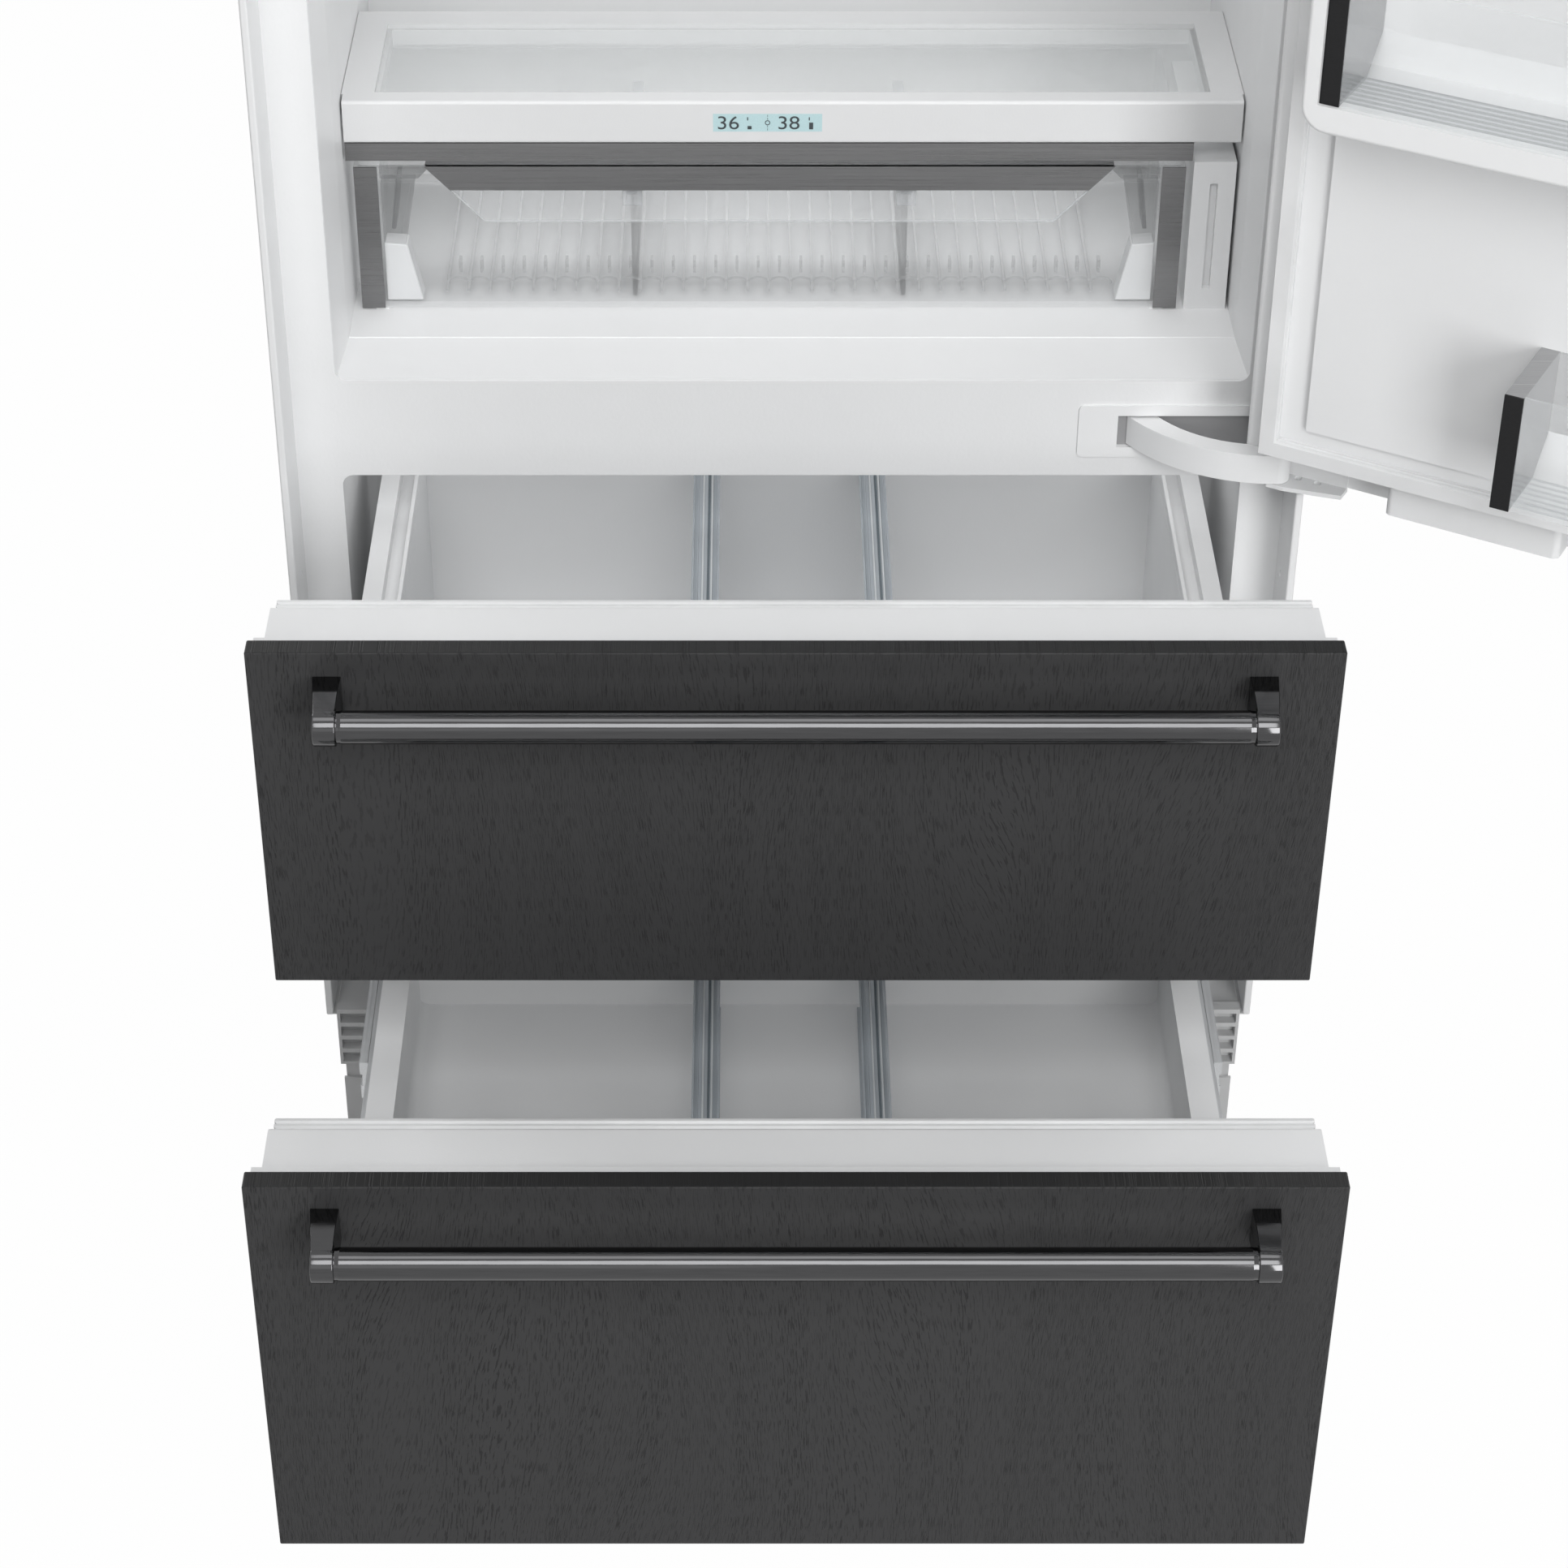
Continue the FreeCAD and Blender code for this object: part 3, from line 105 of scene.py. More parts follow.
# Carcass: crease of the sill, and the grille with its slots as in the source.
SILL = {"flare": 0.006, "depth": 0.070, "liner": 0.003, "lift": 0.0015, "bead": 0.0012}
GRILLE = {"columns": 3, "rows": 4, "pitch": 0.0164, "margin": 0.003, "thick": 0.012, "lip": 0.002, "upstand": 0.006,
          "skin": 0.0002, "rail_inset": 0.0065, "rail_end": 0.0045, "rail_drop": 0.024, "rail_front": 0.007,
          "rail_back": 0.011}

# Seals: a fold as shares of the width and depth, and the room that the door's seal leaves at the hinge masks.
SEAL = {"wide": 0.015, "mask_room": 0.0021,
        "fold": ((0.06, 1.0), (0.0, 0.86), (0.0, 0.70), (0.16, 0.58), (0.0, 0.46), (0.0, 0.30), (0.14, 0.18),
                 (0.06, 0.06), (0.06, 0.0))}

# Door bins: their levels and end walls as in the source, caps and ribs.
BIN = {"base": 1.306, "pitch": 0.345, "low_gap": 0.178, "heel": 0.030, "depth": 0.088, "height": 0.104, "cap": 0.016,
       "skin": 0.0001, "ribs": 7, "rib_start": 0.036, "rib_pitch": 0.008, "rib_rise": 0.0035, "rib_end": 0.004,
       "rib_radius": 0.0009}


# Sizes and colours that a user would change.

class HandleSizes(bpy.types.PropertyGroup):
    """Sizes of the bar handles."""
    post_width: FloatProperty(name="Post width", description="Width of a post at the panel", default=0.0238,
                              unit="LENGTH")
    ring_width: FloatProperty(name="Ring width", description="Length of the ring round the bar", default=0.019,
                              unit="LENGTH")
    ring_radius: FloatProperty(name="Ring radius", description="Radius of the ring", default=0.01594, unit="LENGTH")
    rise: FloatProperty(name="Rise", description="Height of a post's shoulder over its bar", default=0.020,
                        unit="LENGTH")
    shoulder: FloatProperty(name="Shoulder", description="Depth of a post's flat shoulder", default=0.027,
                            unit="LENGTH")
    rim: FloatProperty(name="Rim", description="Rounding of edges", default=0.0012, unit="LENGTH")
    lean: FloatProperty(name="Lean", description="How far a post leans in towards its ring", default=0.0045,
                        unit="LENGTH")


class CrisperSizes(bpy.types.PropertyGroup):
    """Sizes of the clear crisper."""
    rib_count: IntProperty(name="Ribs", description="Ribs across the floor", default=31, min=3)
    rib_width: FloatProperty(name="Rib width", description="Width of a floor rib", default=0.0026, unit="LENGTH")
    rib_height: FloatProperty(name="Rib height", description="Height of a floor rib", default=0.004,
                              unit="LENGTH")
    rib_pitch: FloatProperty(name="Rib pitch", description="Spacing of the floor ribs", default=0.0196,
                             unit="LENGTH")
    digit_height: FloatProperty(name="Digit height", description="Height of the numbers on the display",
                                default=0.0125, unit="LENGTH")


class Finishes(bpy.types.PropertyGroup):
    """Main colours."""
    white: FloatVectorProperty(name="White", description="Plastic and enamel", subtype="COLOR", size=3,
                               default=(0.80, 0.805, 0.81))
    charcoal: FloatVectorProperty(name="Charcoal", description="Stained wood", subtype="COLOR", size=3,
                                  default=(0.039, 0.039, 0.040))
    dark_metal: FloatVectorProperty(name="Dark metal", description="Polished handles", subtype="COLOR", size=3,
                                    default=(0.076, 0.076, 0.078))
    screen: FloatVectorProperty(name="Screen", description="Lit display", subtype="COLOR", size=3,
                                default=(0.40, 0.55, 0.57))


class StageSizes(bpy.types.PropertyGroup):
    """Camera and light."""
    eye: FloatVectorProperty(name="Eye", description="Place of the camera", subtype="TRANSLATION", size=3,
                             default=(-0.039, -3.057, 2.514))
    pitch: FloatProperty(name="Pitch", description="How far the camera looks down", subtype="ANGLE",
                         default=math.radians(35.6))
    lens: FloatProperty(name="Lens", description="Focal length on a 36 mm wide sensor", default=82.92,
                        unit="CAMERA")
    shift: FloatProperty(name="Shift", description="Sideways shift of the picture", default=0.0228)


# Shader maths.

class Sock:
    """An output socket that takes part in Python sums, each of which adds a Math node."""

    def __init__(self, paint, socket):
        self.paint, self.socket = paint, socket

    def _math(self, operation, first, second):
        return self.paint.add("ShaderNodeMath", {"operation": operation}, {0: first, 1: second})

    def __add__(self, other):
        return self._math("ADD", self, other)

    def __radd__(self, other):
        return self._math("ADD", other, self)

    def __sub__(self, other):
        return self._math("SUBTRACT", self, other)

    def __rsub__(self, other):
        return self._math("SUBTRACT", other, self)

    def __mul__(self, other):
        return self._math("MULTIPLY", self, other)

    def __rmul__(self, other):
        return self._math("MULTIPLY", other, self)


class Paint:
    """A material or a world in the making, with one method that adds any node."""

    def __init__(self, name, store="materials"):
        self.made = getattr(bpy.data, store).new(name)
        self.made.use_nodes = True
        self.tree = self.made.node_tree
        self.tree.nodes.clear()

    def add(self, kind, settings=None, inputs=None, output=0):
        """Add a node of a kind, give it its settings, then its inputs as values or links, and return an output."""
        node = self.tree.nodes.new(kind)
        for name, value in (settings or {}).items():
            setattr(node, name, value)
        for name, value in (inputs or {}).items():
            if isinstance(value, Sock):
                self.tree.links.new(value.socket, node.inputs[name])
            else:
                node.inputs[name].default_value = value
        return Sock(self, node.outputs[output]) if node.outputs else None

    def object_space(self, scale=(1, 1, 1), turn=0.0):
        """Object coordinates, turned round Z and scaled, for a pattern that keeps its place on the piece."""
        place = self.add("ShaderNodeTexCoord", output="Object")
        return self.add("ShaderNodeMapping", {"vector_type": "POINT"},
                        {"Vector": place, "Rotation": (0, 0, turn), "Scale": scale})

    def noise(self, vector, scale, detail=2.0, roughness=0.5):
        """Cloudy noise from 0 to 1."""
        return self.add("ShaderNodeTexNoise", None,
                        {"Vector": vector, "Scale": scale, "Detail": detail, "Roughness": roughness}, "Fac")

    def mix(self, factor, first, second):
        """Mix two colours by a factor."""
        return self.add("ShaderNodeMix", {"data_type": "RGBA"}, {"Factor": factor, 6: first, 7: second}, 2)

    def step(self, value, low, high, to_low=0.0, to_high=1.0):
        """Map a range of values smoothly onto another."""
        return self.add("ShaderNodeMapRange", {"interpolation_type": "SMOOTHSTEP"},
                        {"Value": value, "From Min": low, "From Max": high, "To Min": to_low, "To Max": to_high})

    def spread(self, noise, to_low=0.0, to_high=1.0):
        """Map the middle of a noise, where most of its values lie, onto a range."""
        return self.step(noise, 0.3, 0.7, to_low, to_high)

    def seen(self):
        """At least 1 on rays from the camera and on those that metal or glass sends on, and 0 on the rest."""
        camera, glossy, through = (self.add("ShaderNodeLightPath", output=f"Is {ray} Ray")
                                   for ray in ("Camera", "Glossy", "Transmission"))
        return camera + glossy + through

    def bump(self, height, distance, strength):
        """A normal that follows a height."""
        return self.add("ShaderNodeBump", None, {"Height": height, "Distance": distance, "Strength": strength})

    def finish(self, **inputs):
        """Close the material with a principled shader whose sockets are written with underscores."""
        names = {name.replace("_", " "): value for name, value in inputs.items()}
        shader = self.add("ShaderNodeBsdfPrincipled", None, names)
        self.add("ShaderNodeOutputMaterial", None, {"Surface": shader})
        return self.made


def rgba(color, factor=1.0):
    """A colour with full alpha, made lighter or darker by a factor."""
    return (color[0] * factor, color[1] * factor, color[2] * factor, 1.0)


def moulded_white(name, color, roughness, grain, depth, coat=0.0):
    """White plastic or enamel: faint cloudy tone, fine skin texture and uneven gloss."""
    p = Paint(name)
    space = p.object_space()
    cloud = p.noise(space, 3.0, 3.0)
    skin_noise = p.noise(space, grain, 2.0)
    tone = p.mix(p.spread(cloud), rgba(color, 0.975), rgba(color, 1.0))
    gloss = p.spread(p.noise(space, 22.0, 3.0), roughness - 0.04, roughness + 0.05)
    return p.finish(Base_Color=tone, Roughness=gloss, Normal=p.bump(skin_noise, depth, 0.35), Coat_Weight=coat,
                    Coat_Roughness=0.1)


def arm_enamel_with_painted_shade(name, color, face):
    """White enamel in front of the cabinet's face at y = face, and painted shade behind it: dark grey where the arm
    runs back into its slot.
    """
    p = Paint(name)
    depth = p.add("ShaderNodeSeparateXYZ", None, {"Vector": p.object_space()}, "Y")
    behind = p.step(depth, face + 0.0015, face + 0.0025)
    skin_noise = p.noise(p.object_space(), 240.0, 2.0)
    # Painted shade: the arm turns dark grey behind the face, where it sits in its slot.
    tone = p.mix(behind, rgba(color), rgba((0.28, 0.28, 0.285)))
    return p.finish(Base_Color=tone, Roughness=p.spread(skin_noise, 0.34, 0.42),
                    Normal=p.bump(skin_noise, 0.0003, 0.3))


def stained_wood(name, color, top, turn):
    """Charcoal stain over open upright grain.

    The across-grain place w = x + a * noise(x, z) bends the growth rings into arches. Fine pores are short strokes of
    noise that is stretched along z and read at w, and they gather on the rings. The last millimetre below z = top is
    darker.
    """
    p = Paint(name)
    flat = p.object_space(turn=turn)
    broad = p.noise(p.object_space((3.4, 0.0, 0.85), turn), 1.0, 1.5, 0.45)
    across, up = (p.add("ShaderNodeSeparateXYZ", None, {"Vector": flat}, axis) for axis in "XZ")
    warped = across + broad * 0.42
    fine = p.add("ShaderNodeCombineXYZ", None, {"X": warped * 900.0, "Y": 0.0, "Z": up * 58.0})
    strokes = p.noise(fine, 1.0, 2.0, 0.6)
    rings = p.add("ShaderNodeCombineXYZ", None, {"X": warped * 46.0, "Y": 3.0, "Z": up * 1.3})
    band = p.noise(rings, 1.0, 2.0, 0.5)
    gather = p.step(band, 0.36, 0.62, 0.55, 1.0)
    pores = p.step(strokes, 0.52, 0.62) * gather
    tone = p.mix(p.spread(band), rgba(color, 1.02), rgba(color, 0.98))
    face = p.mix(pores * 0.75, tone, rgba(color, 0.42))
    # Darker within a millimetre below z = top, on the top face and the top of the front alike.
    shade = p.mix(p.step(up, top - 0.0010, top - 0.0003), face, rgba(color, 0.42))
    rough = p.step(pores, 0.0, 1.0, 0.5, 0.7)
    height = 1.0 - pores
    return p.finish(Base_Color=shade, Roughness=rough, Specular_IOR_Level=0.22,
                    Normal=p.bump(height, 0.0006, 0.6))


def polished_dark(name, color):
    """Dark polished metal with faint drawn lines and small changes of gloss."""
    p = Paint(name)
    lines = p.noise(p.object_space((30, 900, 900)), 1.0, 2.0)
    haze = p.noise(p.object_space(), 14.0, 3.0)
    tone = p.mix(p.spread(lines), rgba(color, 0.94), rgba(color, 1.05))
    rough = p.spread(haze, 0.08, 0.12)
    return p.finish(Base_Color=tone, Metallic=1.0, Roughness=rough, Normal=p.bump(lines, 0.0001, 0.12))


def brushed_metal(name, color, roughness, scale=(6, 700, 1400)):
    """Brushed metal: long fine lines along one axis in tone, gloss and height."""
    p = Paint(name)
    lines = p.noise(p.object_space(scale), 1.0, 3.0, 0.65)
    tone = p.mix(p.step(lines, 0.28, 0.72), rgba(color, 0.93), rgba(color, 1.06))
    rough = p.step(lines, 0.25, 0.75, roughness - 0.05, roughness + 0.06)
    return p.finish(Base_Color=tone, Metallic=1.0, Roughness=rough, Normal=p.bump(lines, 0.0002, 0.15))


def clear_moulding(name, color, face, rim):
    """Clear moulded plastic: nearly see-through face on, denser at the rims, with slight moulding waves."""
    p = Paint(name)
    facing = p.add("ShaderNodeLayerWeight", None, {"Blend": 0.5}, "Facing")
    waves = p.noise(p.object_space(), 16.0, 2.0)
    shadow = p.add("ShaderNodeLightPath", output="Is Shadow Ray")
    veil = p.step(facing, 0.1, 1.0, face, rim) * (1.0 - shadow * 0.8)
    tone = p.mix(p.step(facing, 0.2, 0.95), rgba(color, 1.0), rgba(color, 0.8))
    return p.finish(Base_Color=tone, Alpha=veil, Roughness=0.06, IOR=1.49, Normal=p.bump(waves, 0.001, 0.08))


def matte_moulding(name, color, roughness):
    """Dull plastic, rubber or foam with a fine pitted skin."""
    p = Paint(name)
    pits = p.noise(p.object_space(), 420.0, 3.0)
    tone = p.mix(p.spread(p.noise(p.object_space(), 9.0, 3.0)), rgba(color, 0.92), rgba(color, 1.05))
    return p.finish(Base_Color=tone, Roughness=roughness, Normal=p.bump(pits, 0.0004, 0.3))


def lit_screen(name, color):
    """A pale lit screen with a fine cell pattern behind glass."""
    p = Paint(name)
    cells = p.noise(p.object_space((900, 1, 900)), 1.0, 1.0)
    tone = p.mix(p.spread(cells), rgba(color, 0.97), rgba(color, 1.03))
    return p.finish(Base_Color=tone, Roughness=0.18, Emission_Color=tone, Emission_Strength=0.18)


def dress(material, *nodes):
    """Give carried-over nodes a finish."""
    for name in nodes:
        mesh = frame["nodes"][name]
        if not mesh.material_slots:
            mesh.data.materials.append(material)
        for slot in mesh.material_slots:
            slot.material = material


# Surfaces.

def skin(grid, wrap_u=False, wrap_v=False):
    """Quads between neighbours of a grid of points, grid[u, v] = (x, y, z), closed round u or v if asked."""
    rows, columns = grid.shape[:2]
    index = np.arange(rows * columns).reshape(rows, columns)
    if wrap_u:
        index = np.vstack([index, index[:1]])
    if wrap_v:
        index = np.hstack([index, index[:, :1]])
    quads = np.stack([index[:-1, :-1], index[1:, :-1], index[1:, 1:], index[:-1, 1:]], -1)
    return grid.reshape(-1, 3), quads.reshape(-1, 4).tolist()


def lathe(profile, middle, axis):
    """A profile of (along, radius) turned round an axis: p = middle + along * a + radius * (cos t * b + sin t * c)."""
    profile = np.asarray(profile, float)
    a = np.eye(3)["xyz".index(axis)]
    b, c = np.roll(a, 1), np.roll(a, 2)
    spokes = np.cos(TURNS)[:, None] * b + np.sin(TURNS)[:, None] * c
    grid = np.asarray(middle) + profile[:, None, :1] * a + profile[:, None, 1:] * spokes[None]
    return skin(grid, wrap_v=True)


def capped(first, last):
    """A skin from one ring of points to another, with flat ends."""
    points, quads = skin(np.stack([first, last]), wrap_v=True)
    count = len(first)
    return points, quads + [list(range(count))[::-1], list(range(count, 2 * count))]


def prism(outline, origin, right, up, run):
    """A flat outline of (right, up) points carried along a run: p = origin + r * right + u * up + k * run."""
    outline = np.asarray(outline, float)
    ring = np.asarray(origin, float) + outline[:, :1] * np.asarray(right) + outline[:, 1:] * np.asarray(up)
    return capped(ring, ring + np.asarray(run))


def picture_frame(profile, middle, width, height, y):
    """A profile of (inset, depth) carried round an upright rectangle with mitred corners."""
    profile = np.asarray(profile, float)
    signs = np.array([(-1, -1), (1, -1), (1, 1), (-1, 1)], float)
    x = middle[0] + signs[:, :1] * (width / 2 - profile[None, :, 0])
    z = middle[1] + signs[:, 1:] * (height / 2 - profile[None, :, 0])
    depth = np.broadcast_to(y + profile[None, :, 1], x.shape)
    return skin(np.stack([x, depth, z], -1), wrap_u=True, wrap_v=True)


def slab(low, high):
    """A plain-sided bar between two corners, for small ribs, tabs and marks."""
    low, high = np.asarray(low, float), np.asarray(high, float)
    outline = ((low[0], low[2]), (high[0], low[2]), (high[0], high[2]), (low[0], high[2]))
    return prism(outline, (0, low[1], 0), (1, 0, 0), (0, 0, 1), (0, high[1] - low[1], 0))


def bead(route, radius, sides=8):
    """A round bead along a route: each ring stands square to the mean direction of the route at its point."""
    route = np.asarray(route, float)
    ahead = np.gradient(route, axis=0)
    ahead /= np.linalg.norm(ahead, axis=1, keepdims=True)
    side = np.cross(ahead, (0.0, 0.31, 0.95))
    side /= np.linalg.norm(side, axis=1, keepdims=True)
    up = np.cross(side, ahead)
    turn = np.linspace(0, 2 * np.pi, sides, endpoint=False)
    ring = np.cos(turn)[:, None] * side[:, None] + np.sin(turn)[:, None] * up[:, None]
    grid = route[:, None] + radius * ring
    ends = np.broadcast_to(route[[0, -1]][:, None], (2, sides, 3))
    return skin(np.concatenate([ends[:1], grid, ends[1:]]), wrap_v=True)


def straight(start, end, y, z, count):
    """Points of a route along x, at one depth and height."""
    run = np.linspace(start, end, count)
    return np.stack([run, np.full(count, y), np.full(count, z)], -1)


def mesh_points(mesh):
    """A mesh's points as an array."""
    flat = np.empty(len(mesh.vertices) * 3)
    mesh.vertices.foreach_get("co", flat)
    return flat.reshape(-1, 3)


def lettering(body, height, left, base, y, stretch=1.15):
    """Flat figures of a height, widened, read from the front, with their lower left corner at (left, y, base)."""
    curve = bpy.data.curves.new("figures", "FONT")
    curve.body = body
    holder = bpy.data.objects.new("figures", curve)
    mesh = bpy.data.meshes.new_from_object(holder)
    flat = mesh_points(mesh)
    flat = (flat - flat.min(0)) * (stretch, 1, 1) * height / np.ptp(flat[:, 1])
    faces = [list(face.vertices) for face in mesh.polygons]
    bpy.data.objects.remove(holder)
    bpy.data.meshes.remove(mesh)
    return np.stack([left + flat[:, 0], np.full(len(flat), y), base + flat[:, 1]], -1), faces


def turned(points, angle):
    """Points turned round the hinge pin: x' = c * x - s * y and y' = s * x + c * y from the pin."""
    c, s = math.cos(angle), math.sin(angle)
    flat = points - PIN
    return np.stack([c * flat[:, 0] - s * flat[:, 1], s * flat[:, 0] + c * flat[:, 1], flat[:, 2]], -1) + PIN


def swung(part):
    """A part made with the door closed, turned with it to its place at rest."""
    points, faces = part
    return turned(points, SWING), faces


def closed_box(node):
    """Corners of a door node's box with the door closed."""
    back = turned(mesh_points(frame["nodes"][node].data), -SWING)
    return back.min(0), back.max(0)


def box(node):
    """Corners of a node's box at rest, as arrays."""
    return tuple(np.array(corner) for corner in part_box(node))


def soft_edges(made, width):
    """Round the sharp edges of a piece."""
    bevel = made.modifiers.new("soft edges", "BEVEL")
    bevel.width, bevel.segments, bevel.limit_method = width, 2, "ANGLE"
    bevel.angle_limit = CREASE
    bevel.harden_normals = True


def piece(name, parts, material, body, slot, *replaced):
    """Join parts into one object with its faces outwards, and let it ride on a body."""
    points, faces, start = [], [], 0
    for part_points, part_faces in parts:
        points.append(part_points)
        faces += [[corner + start for corner in face] for face in part_faces]
        start += len(part_points)
    mesh = bpy.data.meshes.new(name)
    mesh.from_pydata(np.concatenate(points), [], faces)
    work = bmesh.new()
    work.from_mesh(mesh)
    bmesh.ops.remove_doubles(work, verts=work.verts, dist=1e-6)
    bmesh.ops.dissolve_degenerate(work, edges=work.edges, dist=1e-7)
    bmesh.ops.recalc_face_normals(work, faces=work.faces)
    work.to_mesh(mesh)
    work.free()
    mesh.shade_smooth()
    mesh.set_sharp_from_angle(angle=CREASE)
    mesh.materials.append(material)
    made = bpy.data.objects.new(name, mesh)
    bpy.context.scene.collection.objects.link(made)
    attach(made, body)
    if replaced:
        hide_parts(*replaced)
    return made


# Operators.

class FRIDGE_OT_stage(bpy.types.Operator):
    """Camera, soft light, pale floor and white surroundings"""
    bl_idname = "fridge.stage"
    bl_label = "Stage"

    def execute(self, context):
        sizes = context.scene.fridge_stage
        scene = context.scene
        scene.view_settings.view_transform = "Standard"
        camera = bpy.data.cameras.new("camera")
        camera.lens, camera.sensor_width, camera.shift_x = sizes.lens, SENSOR, sizes.shift
        eye = bpy.data.objects.new("camera", camera)
        eye.location = sizes.eye
        eye.rotation_euler = (math.pi / 2 - sizes.pitch, 0, 0)
        scene.collection.objects.link(eye)
        scene.camera = eye
        self.surround(scene)
        self.lamps(scene)
        self.floor()
        return {"FINISHED"}

    def surround(self, scene):
        """White where the camera, metal or glass sees it, and an even light elsewhere."""
        p = Paint("surround", "worlds")
        soft = p.add("ShaderNodeBackground", None, {"Color": (0.98, 0.99, 1.0, 1), "Strength": 0.03})
        plain = p.add("ShaderNodeBackground", None, {"Color": (1, 1, 1, 1), "Strength": 1.0})
        surface = p.add("ShaderNodeMixShader", None, {0: p.seen(), 1: soft, 2: plain})
        p.add("ShaderNodeOutputWorld", None, {"Surface": surface})
        scene.world = p.made

    def lamps(self, scene):
        """Large soft lamps above, at the right and behind, and small ones in the compartments.

        A row is a name, a place, an aim, a width, a depth and a power in watts. The camera sees no lamp, and
        reflections show only the large ones.
        """
        rows = (("key", (0.0, -3.2, 3.5), (0, -0.4, 0.8), 2.8, 1.6, 74.0),
                ("side", (1.6, -4.0, 1.7), (0, -0.4, 0.8), 1.3, 2.0, 72.0),
                ("front", (-1.0, -4.1, 2.0), (0, -0.4, 0.8), 2.0, 1.2, 3.0),
                ("top", (0.0, -1.0, 3.9), (0, -0.8, 0.8), 2.6, 1.1, 18.0),
                ("back left", (-3.2, 2.2, 2.4), (0, 0, 1.0), 1.5, 2.0, 60.0),
                ("back right", (3.2, 2.2, 2.4), (0, 0, 1.0), 1.5, 2.0, 60.0),
                ("room", (0.0, -0.06, 2.03), (0, -0.08, 0.9), 0.6, 0.16, 0.12),
                ("left wall", (0.25, -0.22, 1.66), (-0.44, -0.17, 1.12), 0.1, 0.5, 0.40),
                ("right wall", (-0.25, -0.22, 1.66), (0.44, -0.17, 1.12), 0.1, 0.5, 0.46),
                ("crisper", (0.0, 0.03, 1.083), (0, 0.03, 0.95), 0.7, 0.1, 0.2),
                ("bay", (0.0, -0.09, 0.845), (0, -0.089, 0.6), 0.806, 0.3, 0.45))
        for name, place, aim, wide, deep, power in rows:
            lamp = bpy.data.lights.new(name, "AREA")
            lamp.shape, lamp.size, lamp.size_y, lamp.energy = "RECTANGLE", wide, deep, power
            holder = bpy.data.objects.new(name, lamp)
            holder.location = place
            away = np.array(place) - np.array(aim)
            tilt = math.atan2(math.hypot(away[0], away[1]), away[2])
            holder.rotation_euler = (tilt, 0, math.atan2(away[0], -away[1]))
            holder.visible_camera = False
            holder.visible_glossy = wide > LARGE_LAMP
            scene.collection.objects.link(holder)

    def floor(self):
        """A wide pale floor, white to the camera apart from the object's shadow."""
        span = np.linspace(-FLOOR["half"], FLOOR["half"], FLOOR["points"])
        x, y = np.meshgrid(span, span, indexing="ij")
        points, faces = skin(np.stack([x, y, np.zeros_like(x)], -1))
        mesh = bpy.data.meshes.new("floor")
        mesh.from_pydata(points, [], faces)
        made = bpy.data.objects.new("floor", mesh)
        bpy.context.scene.collection.objects.link(made)
        p = Paint("pale_floor")
        speck = p.noise(p.object_space(), 60.0, 2.0)
        tone = p.mix(p.spread(speck), *((grey, grey, grey, 1) for grey in FLOOR["greys"]))
        matte = p.add("ShaderNodeBsdfDiffuse", None, {"Color": tone})
        glow = p.add("ShaderNodeEmission", None, {"Color": (1, 1, 1, 1), "Strength": 1.0})
        surface = p.add("ShaderNodeMixShader", None, {0: p.seen() * FLOOR["glow"], 1: matte, 2: glow})
        p.add("ShaderNodeOutputMaterial", None, {"Surface": surface})
        mesh.materials.append(p.made)


